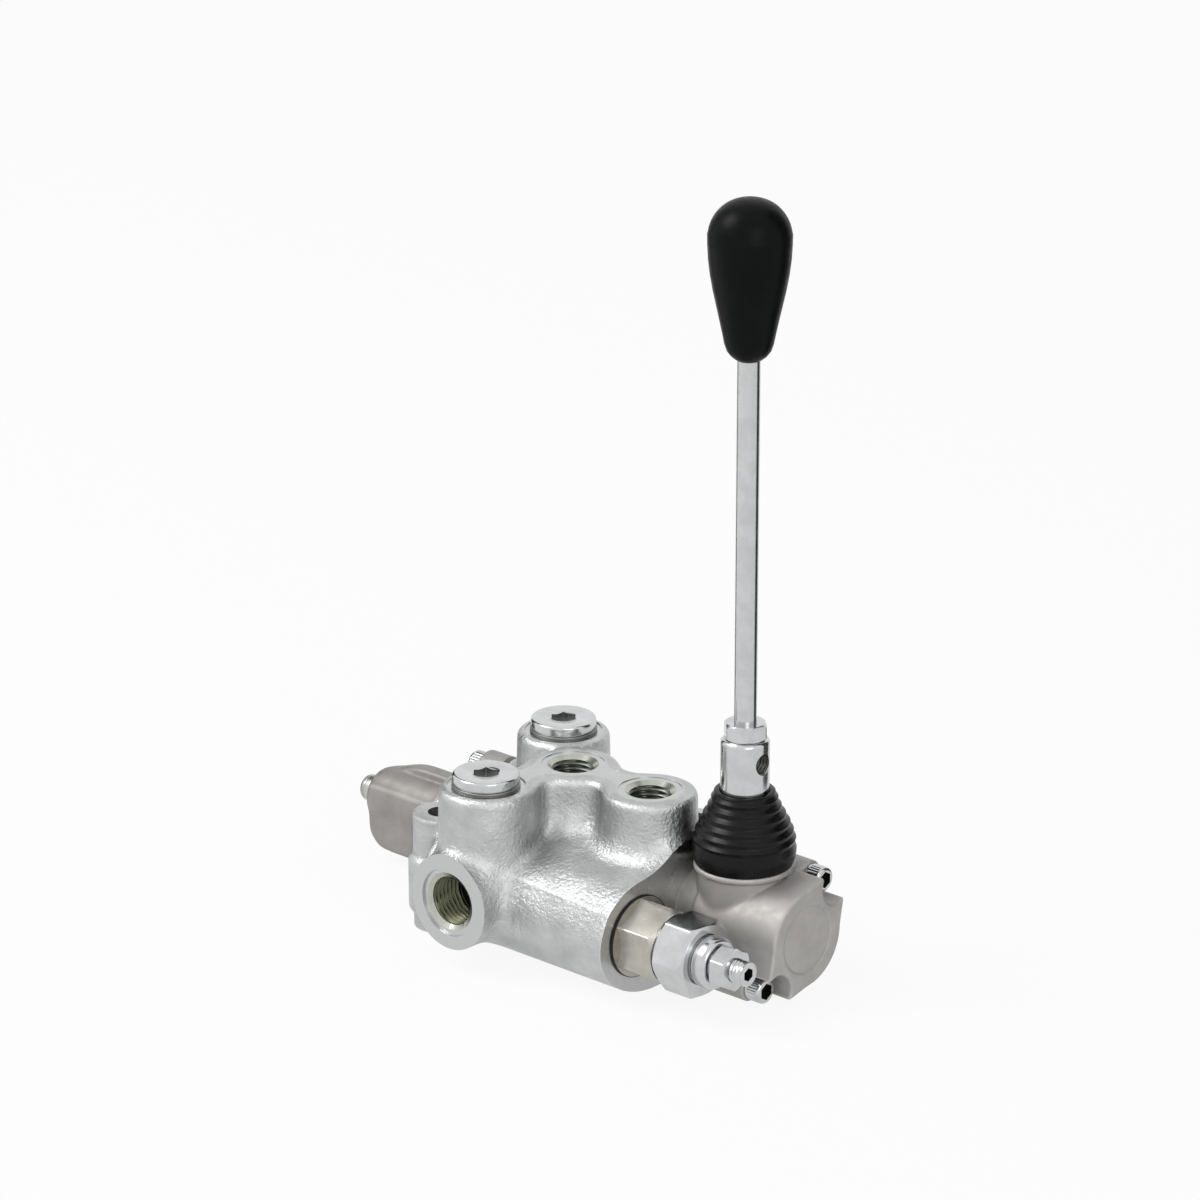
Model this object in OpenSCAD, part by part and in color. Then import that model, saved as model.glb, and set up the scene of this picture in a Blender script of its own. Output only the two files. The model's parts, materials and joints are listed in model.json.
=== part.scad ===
// Manual directional control valve: one spool, two work ports, lever with rubber boot.
// Origin on the mounting plane under work port A. X along the spool towards the lever, Z up.

/* [Casting] */
// Length of the casting along the spool
body_length = 96; // [92:1:104]
// Height of the low part of the casting
shoulder_height = 39; // [37:0.5:41]
// Height of the plane that all top ports share
port_plane = 60; // [58:0.5:66]
// Radius of each port boss
boss_radius = 15.5; // [14.5:0.1:16.5]
// Half width of the webs that join the bosses
web_half = 9; // [7:0.5:11]
// Radius of the rounded front edge of the casting
front_round = 19.5; // [17:0.5:19.5]
// Distance from work port A to work port B
port_pitch = 34; // [32:0.5:37]

/* [Side bosses] */
// Inlet boss centre along X
inlet_x = -8.2; // [-10:0.1:-6]
// Inlet boss centre along Y
inlet_y = -33.2; // [-35:0.1:-32]
// Tank boss centre along X
tank_x = -23.3; // [-24:0.1:-22]
// Tank boss centre along Y
tank_y = 20.7; // [20:0.1:22]
// Height of the side port axes
side_port_z = 24; // [23:0.5:25]
// Distance from a boss centre to its side port face
side_reach = 18.4; // [18:0.1:21]
// Radius of the raised pad round a side port
pad_radius = 16.7; // [16:0.1:17.5]

/* [Ports] */
// Wall radius of the small ports on top
small_port_radius = 7.475; // [7.2:0.025:7.6]
// Depth of the small port threads
small_port_depth = 15; // [13:0.5:16]
// Wall radius of the large side ports
large_port_radius = 9.3; // [9:0.05:9.6]
// Depth of the large port threads
large_port_depth = 16; // [14:0.5:17]
// Radius of the spot face round a small port
small_face_radius = 10.6; // [9.5:0.1:13]
// Radius of the spot face round a side port
large_face_radius = 15.4; // [13:0.1:15.6]
// Depth of every spot face
spot_depth = 0.5; // [0.3:0.1:1]

/* [Mounting] */
// Radius of each mounting hole
mount_radius = 4.5; // [3.2:0.1:4.6]
// Front mounting hole along X
mount_front_x = -37; // [-38:0.1:-36]
// Front mounting hole along Y
mount_front_y = -24.5; // [-26:0.1:-23]
// Rear mounting hole along X
mount_rear_x = 29; // [28:0.1:30]
// Rear mounting hole along Y
mount_rear_y = 27.5; // [26.5:0.1:29]
// Radius of the ear round a mounting hole
ear_radius = 10.5; // [9:0.1:11]

/* [Spool] */
// Spool axis along Y
spool_y = 9; // [8.6:0.1:9.6]
// Spool axis height
spool_z = 21; // [20.6:0.1:21.6]
// Radius of the spool lands
spool_radius = 7.97; // [7.8:0.01:8.1]
// Radius of the spool necks
neck_radius = 5.2; // [4.6:0.1:5.6]
// Pitch of the work grooves
groove_pitch = 13; // [12.6:0.1:13.2]
// Width of a work groove
groove_width = 5; // [4.6:0.1:5.2]
// Radius of the grooves in the casting
groove_radius = 10.5; // [9.8:0.1:10.8]
// Travel of the spool each way
spool_travel = 5.24; // [4.8:0.02:5.4]

/* [Rear cap] */
// Length of the rear cap
cap_length = 55; // [54:0.5:60]
// Radius of the ridge over the centring spring
cap_ridge_radius = 10; // [9.8:0.1:10.4]
// Depth of the lower wing below the spool axis
wing_drop = 16.8; // [15:0.2:17.4]
// Height of the upper wing above the spool axis
wing_rise = 13; // [11:0.2:15]
// Diameter of the centring spring wire
centring_wire = 1.6; // [1.2:0.1:1.8]

/* [Lever box] */
// Length of the lever box
box_length = 46; // [45:0.5:50]
// Outer radius of the lever box barrel
barrel_radius = 16.7; // [16.2:0.1:17]
// Lever axis along X
lever_x = 66.7; // [66:0.1:67.4]
// Height of the lever pivot above the spool axis
pivot_arm = 15; // [14.6:0.1:15.4]
// Radius of the turret that carries the ball
turret_radius = 15; // [14.6:0.1:15.5]
// Height of the turret rim
turret_top = 43; // [42.6:0.2:44]
// Offset of each fixing screw from the spool axis, across
screw_offset_y = 14.4; // [14:0.1:14.8]
// Offset of each fixing screw from the spool axis, upwards
screw_offset_z = 15; // [14.6:0.1:15.2]
// Radius of the fixing screw shanks
screw_radius = 3; // [2.5:0.1:3.1]

/* [Lever] */
// Radius of the lever ball
ball_radius = 7.5; // [7:0.1:7.8]
// Radius of the lever socket
socket_radius = 8; // [7.6:0.1:8.4]
// Height where the lever socket starts
socket_bottom = 63; // [62:0.5:65]
// Height where the lever socket ends
socket_top = 83.9; // [82:0.1:88]
// Width across flats of the lever nut
lever_nut_flats = 13; // [12:0.5:14]
// Radius of the lever rod
rod_radius = 3.7; // [3.4:0.05:4]
// Height where the knob starts
knob_bottom = 211; // [190:1:230]
// Length of the knob
knob_length = 52.5; // [48:0.5:58]
// Largest radius of the knob
knob_radius = 13.4; // [12:0.1:15]
// Largest radius of the rubber boot
boot_radius = 17; // [16.6:0.1:17.4]

/* [Relief valve] */
// Relief valve axis along Y
relief_y = -24; // [-25:0.1:-23.5]
// Relief valve axis height
relief_z = 20.5; // [20:0.1:21]
// Width across flats of both hexagons
relief_flats = 23.6; // [23:0.1:24]
// Length of the hexagon next to the casting
relief_hex_length = 18; // [16:0.5:20]
// Length of the outer hexagon
relief_cap_length = 13; // [12:0.5:15]
// Radius of the adjusting screw
adjuster_radius = 4; // [3.5:0.1:4.2]
// Thread pitch of the adjusting screw
adjuster_pitch = 1.25; // [1:0.25:1.5]
// Lift of the relief poppet
relief_lift = 1.5; // [1:0.1:2]

/* [Plugs and check valve] */
// Radius of a plug head
plug_head_radius = 11; // [10.4:0.1:12]
// Thickness of a plug head
plug_head = 3.6; // [3:0.1:5]
// Length of a plug thread
plug_thread = 11; // [10:0.5:11.5]
// Thickness of a plug washer
washer_thick = 1.4; // [1:0.1:2]
// Lift of the check poppet
check_lift = 3; // [2:0.1:3.4]

/* [Fits] */
// Radial clearance of a sliding or screwed fit
fit = 0.03; // [0.02:0.01:0.06]
// Gap between pieces that move past each other
gap = 0.3; // [0.25:0.05:0.4]

/* [Hidden] */
$fn = 64;
coil_steps = 14;
coil_sides = 8;
body_end = body_length / 2;
mount_places = [[mount_front_x, mount_front_y], [mount_rear_x, mount_rear_y]];
bore_radius = spool_radius + fit;
groove_p = 10;
groove_a = groove_p - groove_pitch;
groove_b = groove_p + groove_pitch;
groove_left = groove_a - 18;
groove_left_width = 8;
groove_right = groove_b + 12;
land_overlap = 1.5;
land_half = groove_width / 2 + land_overlap;
gallery_z = 6.5;
seal_inset = 2.5;
seal_width = 2.4;
seal_section = 1.9;
core_radius = 4.5;
inlet_face = inlet_y - side_reach;
tank_face = tank_y + side_reach;
small_floor = port_plane - small_port_depth;
rear_y = spool_y + 21;
check_seat_z = 39;
check_seat_top = 42;
check_bore = small_port_radius;
poppet_radius = check_bore - 1.4;
poppet_head = 1.9;
check_wire = 0.8;
check_coil = 3.6;
check_pocket = 5.5;
head_under = port_plane - spot_depth + washer_thick;
plug_bottom = head_under - plug_thread;
stem_top = plug_bottom + check_pocket - check_lift - gap;
key_flats = 8;
key_depth = 2.9;
pivot_z = spool_z + pivot_arm;
box_end = body_end + box_length;
screw_gap = 0.2;
cup_radius = screw_offset_y - screw_radius - screw_gap - 0.8;
cup_half = 4.5;
ball_seat = ball_radius + 0.05;
finger_radius = 3.5;
finger_shank = 2.2;
finger_swing = finger_radius + spool_travel + 2 * gap;
spool_flat = 3.2;
spool_nose = lever_x + 9.3;
box_cavity = bore_radius + 0.6;
box_cavity_end = spool_nose + spool_travel + 1.5;
lug_radius = 5.8;
rib_half = lug_radius - 0.4;
box_lug_end = box_end - 11;
screw_head_radius = 4.6;
screw_head = 6;
screw_depth = 13;
seat_plate = 1.4;
spool_tail = -(body_end + spool_travel + gap);
spring_front = spool_tail - seat_plate;
spring_rear = spring_front - 27;
bolt_head = 4.6;
bolt_thread = 9;
seat_flange_rear = 7.8;
bolt_tip = spring_rear - seat_plate - bolt_head;
cap_end = -(body_end + cap_length);
cap_cavity = 8.3;
cap_base = 10;
cap_collar = 14;
cap_wall = 3;
cap_taper = 2.4;
lower_wing = 6.4;
upper_wing = 6;
lower_corner = 10;
upper_corner = 12;
trim = 60;
seat_flange = 9.2;
cap_cavity_end = bolt_tip - spool_travel - 1;
centring_radius = 6.4;
relief_hex_end = body_end + relief_hex_length;
relief_cap_start = relief_hex_end + 0.8;
relief_cap_end = relief_cap_start + relief_cap_length;
collar_end = relief_cap_end + 5.6;
locknut_start = collar_end + 1.4;
locknut_length = 5.4;
relief_bore = 7;
relief_shank = 9.4;
relief_shank_start = 31;
seat_start = 12;
seat_end = 17;
seat_hole = 2.8;
guide_radius = 4.6;
spring_cup = 29;
pusher_length = 7;
adjust_turns = 1.5;
adjust_travel = adjust_turns * adjuster_pitch;
pusher_start = relief_hex_end - pusher_length - adjust_travel - 0.125;
adjuster_tip = locknut_start + locknut_length + adjust_travel + 3.125;
spring_face = spring_cup - 0.5;
spring_room = 5.1;
seal_thick = 1.4;
relief_wire = 1.4;
boot_base = turret_top - 1.9;
boot_neck = 66;
boot_wall = 1.3;
boot_clear = 0.25;
rim_lip = 1.2;
rim_height = 2.6;

// Cylinder along X from one place to another
module bar_x(x0, x1, r, r2 = undef) {
    translate([x0, 0, 0]) rotate([0, 90, 0])
        cylinder(h = x1 - x0, r1 = r, r2 = is_undef(r2) ? r : r2);
}

// Hexagonal prism along Z with corners on X
module hexagon(flats, h) {
    cylinder(h = h, r = flats / sqrt(3), $fn = 6);
}

// Hexagonal prism with rounded corners at both ends, made by a revolved limit
module nut_blank(flats, h, bevel = 0.8) {
    corner = flats / sqrt(3);
    intersection() {
        hexagon(flats, h);
        rotate_extrude() polygon([[0, 0], [flats / 2 - 0.1, 0], [corner, bevel], [corner, h - bevel],
            [flats / 2 - 0.1, h], [0, h]]);
    }
}

// Cylinder between two points
module bar_between(a, b, r) {
    d = b - a;
    translate(a) rotate([0, acos(d[2] / norm(d)), atan2(d[1], d[0])]) cylinder(h = norm(d), r = r);
}

// Threaded port from its mouth downwards, with a lead-in chamfer and a spot face
module port_cut(r, depth, face_r) {
    chamfer = 1.2;
    translate([0, 0, -depth]) cylinder(h = depth + 1, r = r);
    translate([0, 0, -spot_depth - chamfer]) cylinder(h = chamfer, r1 = r, r2 = r + chamfer);
    translate([0, 0, -spot_depth]) cylinder(h = spot_depth + 1, r = face_r);
}

// Ring with a round section, lying along X
module seal_ring(x, r_in, section, width) {
    translate([x, 0, 0]) rotate([0, 90, 0]) rotate_extrude()
        translate([r_in, -width / 2]) square([section, width]);
}

// Closed helical wire along Z from zero to h
function coil_point(i, h, turns, r) = let (a = 360 * i / coil_steps)
    [r * cos(a), r * sin(a), h * i / (coil_steps * turns)];
function coil_ring(i, h, turns, r, wire) = let (a = 360 * i / coil_steps, p = coil_point(i, h, turns, r))
    [for (j = [0:coil_sides - 1]) let (b = 360 * j / coil_sides)
        p + wire / 2 * [cos(b) * cos(a), cos(b) * sin(a), sin(b)]];
module coil(h, turns, r, wire) {
    rings = coil_steps * turns;
    points = [for (i = [0:rings], p = coil_ring(i, h - wire, turns, r, wire)) p + [0, 0, wire / 2]];
    sides = [for (i = [0:rings - 1], j = [0:coil_sides - 1]) let (k = (j + 1) % coil_sides)
        [i * coil_sides + j, i * coil_sides + k, (i + 1) * coil_sides + k, (i + 1) * coil_sides + j]];
    ends = [[for (j = [coil_sides - 1:-1:0]) j], [for (j = [0:coil_sides - 1]) rings * coil_sides + j]];
    polyhedron(points, concat(sides, ends));
}

// Everything that lies on the spool axis
module on_spool() {
    translate([0, spool_y, spool_z]) children();
}

// Everything that lies on the relief valve axis
module on_relief() {
    translate([0, relief_y, relief_z]) children();
}

// The two places of the fixing screws at one end
module at_screws() {
    for (side = [-1, 1]) translate([0, side * screw_offset_y, side * screw_offset_z]) children();
}

// Low part of the casting with its rounded front edge
module casting_block() {
    front_centre = inlet_y + 10;
    round_x = [-body_end + 19, body_end];
    translate([round_x[0], front_centre, front_round]) bar_x(0, round_x[1] - round_x[0], front_round);
    translate([-body_end, front_centre, 0]) cube([body_length, rear_y - front_centre, shoulder_height]);
    for (p = mount_places) translate([p[0], p[1], 0])
        cylinder(h = shoulder_height + 1, r = ear_radius);
    for (end = [-1, 1]) on_spool() at_screws()
        bar_x(end > 0 ? body_end - 16 : -body_end, end > 0 ? body_end : -body_end + 16, lug_radius);
}

// Port bosses, their webs and their flared feet
module casting_bosses() {
    flare = 4.5;
    for (p = [[0, 0], [port_pitch, 0], [inlet_x, inlet_y], [tank_x, tank_y]]) translate([p[0], p[1], 0]) {
        translate([0, 0, 4]) cylinder(h = port_plane - 4, r = boss_radius);
        translate([0, 0, shoulder_height - 6]) cylinder(h = 12, r1 = boss_radius + flare, r2 = boss_radius);
    }
    translate([0, -web_half, 30]) cube([port_pitch, 2 * web_half, port_plane - 30]);
    translate([inlet_x - 5, inlet_y, 30]) cube([2 * web_half - 0.5, -inlet_y, port_plane - 30]);
    bar_between([inlet_x, inlet_y + 6, 35], [groove_p, spool_y, 33], web_half + 2);
    bar_between([0, 0, 34], [port_pitch, 0, 34], web_half + 3);
}

// Pads round the inlet and tank side ports
module casting_pads() {
    for (side = [-1, 1]) {
        x = side < 0 ? inlet_x : tank_x;
        y = side < 0 ? inlet_y : tank_y;
        translate([x, y, side_port_z]) rotate([-90 * side, 0, 0])
            cylinder(h = side_reach, r = pad_radius);
        translate([x - pad_radius, side < 0 ? y - side_reach : y, side_port_z - 13])
            cube([pad_radius, side_reach, 20]);
    }
}

// Spool bore, its grooves and the passages between ports
module casting_passages() {
    on_spool() {
        bar_x(-body_end - 1, body_end + 1, bore_radius);
        for (x = [groove_a, groove_p, groove_b, groove_right])
            bar_x(x - groove_width / 2, x + groove_width / 2, groove_radius);
        bar_x(groove_left - groove_left_width / 2, groove_left + groove_left_width / 2, groove_radius);
        for (end = [-1, 1]) {
            seal_ring(end * (body_end - seal_inset), bore_radius - 0.5, seal_section + 0.5 + fit,
                seal_width + 0.2);
            at_screws() bar_x(end > 0 ? body_end - screw_depth : -body_end - 1,
                end > 0 ? body_end + 1 : -body_end + screw_depth, screw_radius + fit);
        }
    }
    bar_between([0, 0, small_floor + 1], [groove_a, spool_y, spool_z + bore_radius], core_radius);
    bar_between([port_pitch, 0, small_floor + 1], [groove_b, spool_y, spool_z + bore_radius], core_radius);
    bar_between([inlet_x, inlet_y, check_seat_top + core_radius], [groove_p, spool_y, spool_z + 5],
        core_radius);
    translate([groove_left, spool_y, gallery_z]) bar_x(0, groove_right - groove_left, 3);
    for (x = [groove_left, groove_right]) translate([x, spool_y, gallery_z]) cylinder(h = 8, r = 2.4);
    bar_between([relief_shank_start - 4, relief_y, relief_z],
        [groove_right, spool_y - bore_radius, spool_z], 2.3);
}

// Side port bores and the chambers under the plugs
module casting_chambers() {
    translate([inlet_x, inlet_face, side_port_z]) rotate([90, 0, 0])
        port_cut(large_port_radius, large_port_depth, large_face_radius);
    translate([inlet_x, relief_y + 4, side_port_z]) rotate([90, 0, 0])
        cylinder(h = relief_y + 4 - inlet_face - large_port_depth + 0.5, r = large_port_radius - 1.3);
    translate([tank_x, tank_face, side_port_z]) rotate([-90, 0, 0])
        port_cut(large_port_radius, large_port_depth, large_face_radius);
    translate([tank_x, spool_y + bore_radius - 1, side_port_z]) rotate([-90, 0, 0])
        cylinder(h = tank_face - large_port_depth - spool_y - bore_radius + 1.5, r = large_port_radius - 1.3);
    translate([tank_x, tank_y + 2, side_port_z]) cylinder(h = small_floor - side_port_z + 1, r = 4.8);
    translate([inlet_x, inlet_y, check_seat_z]) cylinder(h = small_floor - check_seat_z + 1, r = check_bore);
    translate([inlet_x, inlet_y, side_port_z]) cylinder(h = check_seat_z - side_port_z + 1, r = 5);
    on_relief() {
        bar_x(relief_shank_start, body_end + 1, relief_shank + fit);
        bar_x(seat_end, relief_shank_start + 1, relief_bore);
        bar_x(seat_start, seat_end + 1, 5.5 + fit);
        bar_x(inlet_x, seat_start + 1, 3.4);
    }
}

module valve_body() {
    color("silver") difference() {
        intersection() {
            union() {
                casting_block();
                casting_bosses();
                casting_pads();
            }
            translate([-body_end, inlet_face, 0]) cube([body_length + 4, tank_face - inlet_face, port_plane]);
        }
        translate([body_end, inlet_face, -1]) cube([5, tank_face - inlet_face, shoulder_height + 4]);
        casting_passages();
        casting_chambers();
        for (x = [0, port_pitch]) translate([x, 0, port_plane])
            port_cut(small_port_radius, small_port_depth, small_face_radius);
        for (p = [[inlet_x, inlet_y], [tank_x, tank_y]]) translate([p[0], p[1], port_plane])
            port_cut(small_port_radius, small_port_depth, plug_head_radius + 2);
        for (p = mount_places) translate([p[0], p[1], -1])
            cylinder(h = shoulder_height + 30, r = mount_radius);
    }
}

// Screw plug with a hexagon key socket, its head on the washer
module screw_plug(below = 0) {
    edge = 0.7;
    difference() {
        union() {
            rotate_extrude() polygon([[0, head_under], [plug_head_radius, head_under],
                [plug_head_radius, head_under + plug_head - edge],
                [plug_head_radius - edge, head_under + plug_head], [0, head_under + plug_head]]);
            translate([0, 0, plug_bottom]) cylinder(h = plug_thread, r = small_port_radius - fit);
        }
        translate([0, 0, head_under + plug_head - key_depth]) hexagon(key_flats, key_depth + 1);
        translate([0, 0, plug_bottom - 1]) cylinder(h = below + 1, r = check_coil + check_wire / 2 + 0.3);
    }
}

module inlet_plug() {
    color("gainsboro") translate([inlet_x, inlet_y, 0]) screw_plug(check_pocket);
}

module tank_plug() {
    color("gainsboro") translate([tank_x, tank_y, 0]) screw_plug();
}

module plug_washers() {
    color("gray") for (p = [[inlet_x, inlet_y], [tank_x, tank_y]])
        translate([p[0], p[1], head_under - washer_thick]) difference() {
            cylinder(h = washer_thick, r = plug_head_radius + 0.8);
            translate([0, 0, -1]) cylinder(h = washer_thick + 2, r = small_port_radius + 1.3);
        }
}

module check_seat() {
    color("silver") translate([inlet_x, inlet_y, check_seat_z]) difference() {
        cylinder(h = check_seat_top - check_seat_z, r = check_bore - fit);
        translate([0, 0, -1]) cylinder(h = 10, r = 4.6);
        translate([0, 0, check_seat_top - check_seat_z - 1.2]) cylinder(h = 1.3, r1 = 4.6, r2 = 5.9);
    }
}

module check_poppet() {
    spigot = check_coil - check_wire / 2 - 0.2;
    color("silver") translate([inlet_x, inlet_y, check_seat_top]) rotate_extrude()
        polygon([[0, -1.2], [4.5, -1.2], [5.7, 0.06], [poppet_radius, 0.06], [poppet_radius, poppet_head],
            [spigot, poppet_head], [spigot, stem_top - check_seat_top], [0, stem_top - check_seat_top]]);
}

module check_spring() {
    foot = check_seat_top + poppet_head + 0.05;
    color("dimgray") translate([inlet_x, inlet_y, foot])
        coil(plug_bottom + check_pocket - foot - 0.05, 4, check_coil, check_wire);
}

// One land of the spool between two places, from neck to neck
function land(x0, x1) = [[x0, neck_radius], [x0, spool_radius], [x1, spool_radius], [x1, neck_radius]];

// Lands, necks and nose of the spool, from its tail to the lever slot
function spool_profile() = let (r = spool_radius) concat(
    [[spool_tail, 0], [spool_tail, r], [groove_left - 2, r], [groove_left - 2, neck_radius]],
    land(groove_a - land_half, groove_a + land_half), land(groove_b - land_half, groove_b + land_half),
    [[groove_right + 3.3, neck_radius], [groove_right + 3.3, r]],
    [[spool_nose - 1, r], [spool_nose, r - 1], [spool_nose, 0]]);

module spool() {
    slot = finger_radius + gap + 0.05;
    color("lightsteelblue") on_spool() difference() {
        rotate([90, 0, 90]) rotate_extrude() polygon([for (p = spool_profile()) [p[1], p[0]]]);
        translate([lever_x, 0, -finger_radius - 1.6]) cylinder(h = 20, r = slot);
        translate([lever_x - 8.2, -spool_radius - 1, spool_flat]) cube([30, 2 * spool_radius + 2, 10]);
        bar_x(spool_tail - 1, spool_tail + bolt_thread + 1, 3 + fit);
    }
}

module spool_seals() {
    color("black") on_spool() for (end = [-1, 1])
        seal_ring(end * (body_end - seal_inset), bore_radius + 0.02, seal_section - 0.05, seal_width);
}

module spool_bolt() {
    color("gray") on_spool() difference() {
        union() {
            bar_x(bolt_tip + bolt_head, spool_tail + bolt_thread, 3);
            bar_x(bolt_tip, bolt_tip + bolt_head, 5);
        }
        translate([bolt_tip - 1, 0, 0]) rotate([0, 90, 0]) hexagon(5, 3.6);
    }
}

// Spring seat with a spigot inside the coil
module spring_seat(x, flange, direction) {
    spigot = centring_radius - centring_wire / 2 - 0.15;
    on_spool() translate([x, 0, 0]) mirror([direction > 0 ? 0 : 1, 0, 0]) difference() {
        union() {
            bar_x(-seat_plate, 0, flange);
            bar_x(-seat_plate - 4, -seat_plate + 0.1, spigot);
        }
        bar_x(-seat_plate - 5, 1, 3 + fit);
    }
}

module spring_seat_front() {
    color("darkgray") spring_seat(spool_tail, seat_flange, 1);
}

module spring_seat_rear() {
    color("darkgray") spring_seat(bolt_tip + bolt_head, seat_flange_rear, -1);
}

module centring_spring() {
    color("dimgray") on_spool() translate([spring_rear, 0, 0]) rotate([0, 90, 0])
        coil(spring_front - spring_rear, 7, centring_radius, centring_wire);
}

// Two screw lugs and the rib that ties them to the middle
module screw_lugs(x0, x1, rib_end) {
    length = norm([screw_offset_y, screw_offset_z]);
    at_screws() bar_x(x0, x1, lug_radius);
    rotate([atan2(screw_offset_z, screw_offset_y), 0, 0]) translate([x0, -length, -rib_half])
        cube([rib_end - x0, 2 * length, 2 * rib_half]);
}

// Wing of the rear cap as a plate with a rounded outer corner
module cap_wing(depth, corner, tip) {
    span = -tip - (body_end + cap_base) + 2;
    arc = [for (a = [0:10:90]) [span - corner + corner * sin(a), depth - corner + corner * cos(a)]];
    polygon(concat([[0, 0], [0, depth]], arc, [[span, 0]]));
}

module rear_cap() {
    start = -body_end + 1;
    collar = cap_ridge_radius + cap_wall;
    wing_foot = -body_end - cap_base + 2;
    color("rosybrown") on_spool() difference() {
        union() {
            mirror([1, 0, 0]) screw_lugs(-start, body_end + cap_base, body_end + cap_base - 1);
            bar_x(-body_end - cap_collar, start, collar);
            bar_x(cap_end, cap_cavity_end, cap_ridge_radius - cap_taper, cap_ridge_radius);
            bar_x(cap_cavity_end - 1, start, cap_ridge_radius);
            translate([wing_foot, -cap_ridge_radius + 2 + lower_wing, 0]) rotate([90, 0, 0])
                mirror([1, 0, 0]) mirror([0, 1, 0]) linear_extrude(lower_wing)
                    cap_wing(wing_drop, lower_corner, cap_end + 8);
            translate([wing_foot, upper_wing, 0]) rotate([90, 0, 0]) mirror([1, 0, 0])
                linear_extrude(upper_wing) cap_wing(wing_rise, upper_corner, cap_end + 6);
        }
        translate([-body_end, -trim / 2, -trim / 2]) cube([trim, trim, trim]);
        bar_x(cap_cavity_end, -body_end + 1, cap_cavity);
        bar_x(-body_end - cap_collar + 1, -body_end + 1, seat_flange + gap);
        bar_x(cap_end - 1, cap_end + 6, 3 + fit);
        at_screws() bar_x(-body_end - cap_base - 1, -body_end + 1, screw_radius + screw_gap);
    }
}

// Socket head screws, heads outwards along X
module fixing_screws(seat_x, tip_x) {
    seat = abs(seat_x);
    edge = 0.6;
    socket = 3;
    mirror([seat_x > 0 ? 0 : 1, 0, 0]) at_screws() difference() {
        union() {
            bar_x(abs(tip_x), seat + 0.1, screw_radius);
            bar_x(seat, seat + screw_head - edge, screw_head_radius);
            bar_x(seat + screw_head - edge, seat + screw_head, screw_head_radius, screw_head_radius - edge);
        }
        translate([seat + screw_head - socket, 0, 0]) rotate([0, 90, 0]) hexagon(5, socket + 1);
    }
}

module rear_cap_screws() {
    color("silver") on_spool() fixing_screws(-body_end - cap_base, -body_end + screw_depth - 1);
}

module rear_cap_plug() {
    color("silver") on_spool() {
        bar_x(cap_end, cap_end + 5.5, 3);
        bar_x(cap_end - 4.4, cap_end, 4.8);
        bar_x(cap_end - 5.4, cap_end - 4.4, 3.8, 4.8);
    }
}

module lever_box() {
    notch = 6.9;
    start = body_end - 1;
    recess = barrel_radius - 5.2;
    color("tan") difference() {
        union() {
            on_spool() {
                bar_x(start, box_end, barrel_radius);
                screw_lugs(start, box_lug_end + 1, box_lug_end - 1);
            }
            translate([lever_x, spool_y, spool_z]) cylinder(h = turret_top - spool_z, r = turret_radius);
            translate([lever_x, spool_y, turret_top - rim_height])
                cylinder(h = rim_height, r = turret_radius + rim_lip);
        }
        on_spool() {
            translate([body_end - trim, -trim / 2, -trim / 2]) cube([trim, trim, trim]);
            bar_x(body_end - 1, box_cavity_end, box_cavity);
            at_screws() {
                bar_x(body_end - 1, box_end, screw_radius + screw_gap);
                bar_x(box_lug_end, box_end + 1, notch);
            }
            bar_x(box_end - 0.5, box_end + 1, recess);
        }
        translate([lever_x, spool_y, pivot_z - cup_half]) cylinder(h = 30, r = cup_radius);
        translate([lever_x, spool_y, spool_z]) cylinder(h = 30, r = finger_swing);
    }
}

module lever_box_screws() {
    color("silver") on_spool() fixing_screws(box_lug_end, body_end - screw_depth + 1);
}

module lever_cup() {
    color("ivory") translate([lever_x, spool_y, pivot_z]) difference() {
        translate([0, 0, -cup_half]) cylinder(h = 2 * cup_half, r = cup_radius - fit);
        sphere(r = ball_seat);
    }
}

// Rubber bellows: radius of the smooth outer wall against height
function boot_wall_radius(z) = lookup(z, [[boot_base, boot_radius - 1], [44.4, boot_radius - 0.1],
    [48.2, boot_radius], [51.8, boot_radius - 0.9], [55.3, boot_radius - 2.3], [58.8, boot_radius - 4.1],
    [62.3, boot_radius - 5.9], [boot_neck, boot_radius - 6.9]]);

module lever_boot() {
    ribs = 6;
    rib_foot = 48;
    pitch = (boot_neck - rib_foot) / ribs;
    rib = 0.55;
    rib_top = [for (i = [0:ribs - 1], s = [[0, -rib], [0.25, rib * 0.4], [0.5, rib], [0.75, rib * 0.4]])
        let (z = rib_foot + (i + s[0]) * pitch) [boot_wall_radius(z) + s[1], z]];
    outer = concat([[boot_wall_radius(boot_base), boot_base], [boot_wall_radius(44.4), 44.4]], rib_top,
        [[boot_wall_radius(boot_neck), boot_neck]]);
    inner = [for (z = [boot_neck:-3:turret_top + 1.5])
        [max(socket_radius + boot_clear, boot_wall_radius(z) - boot_wall - rib), z]];
    lip = turret_radius + rim_lip + 0.1;
    foot = [[lip - 2.3, turret_top + 0.02], [lip, turret_top + 0.02], [lip, boot_base]];
    color("black") translate([lever_x, spool_y, 0]) rotate_extrude() polygon(concat(outer, inner, foot));
}

module lever_ball() {
    color("silver") translate([lever_x, spool_y, 0]) {
        difference() {
            translate([0, 0, pivot_z]) sphere(r = ball_radius);
            translate([0, 0, pivot_z - ball_radius - 1]) cylinder(h = 2.2, r = 20);
        }
        translate([0, 0, spool_z]) sphere(r = finger_radius);
        translate([0, 0, spool_z]) cylinder(h = pivot_z - spool_z, r = finger_shank);
        translate([0, 0, pivot_z]) cylinder(h = socket_bottom - pivot_z + 8, r = 3.5);
    }
}

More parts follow.
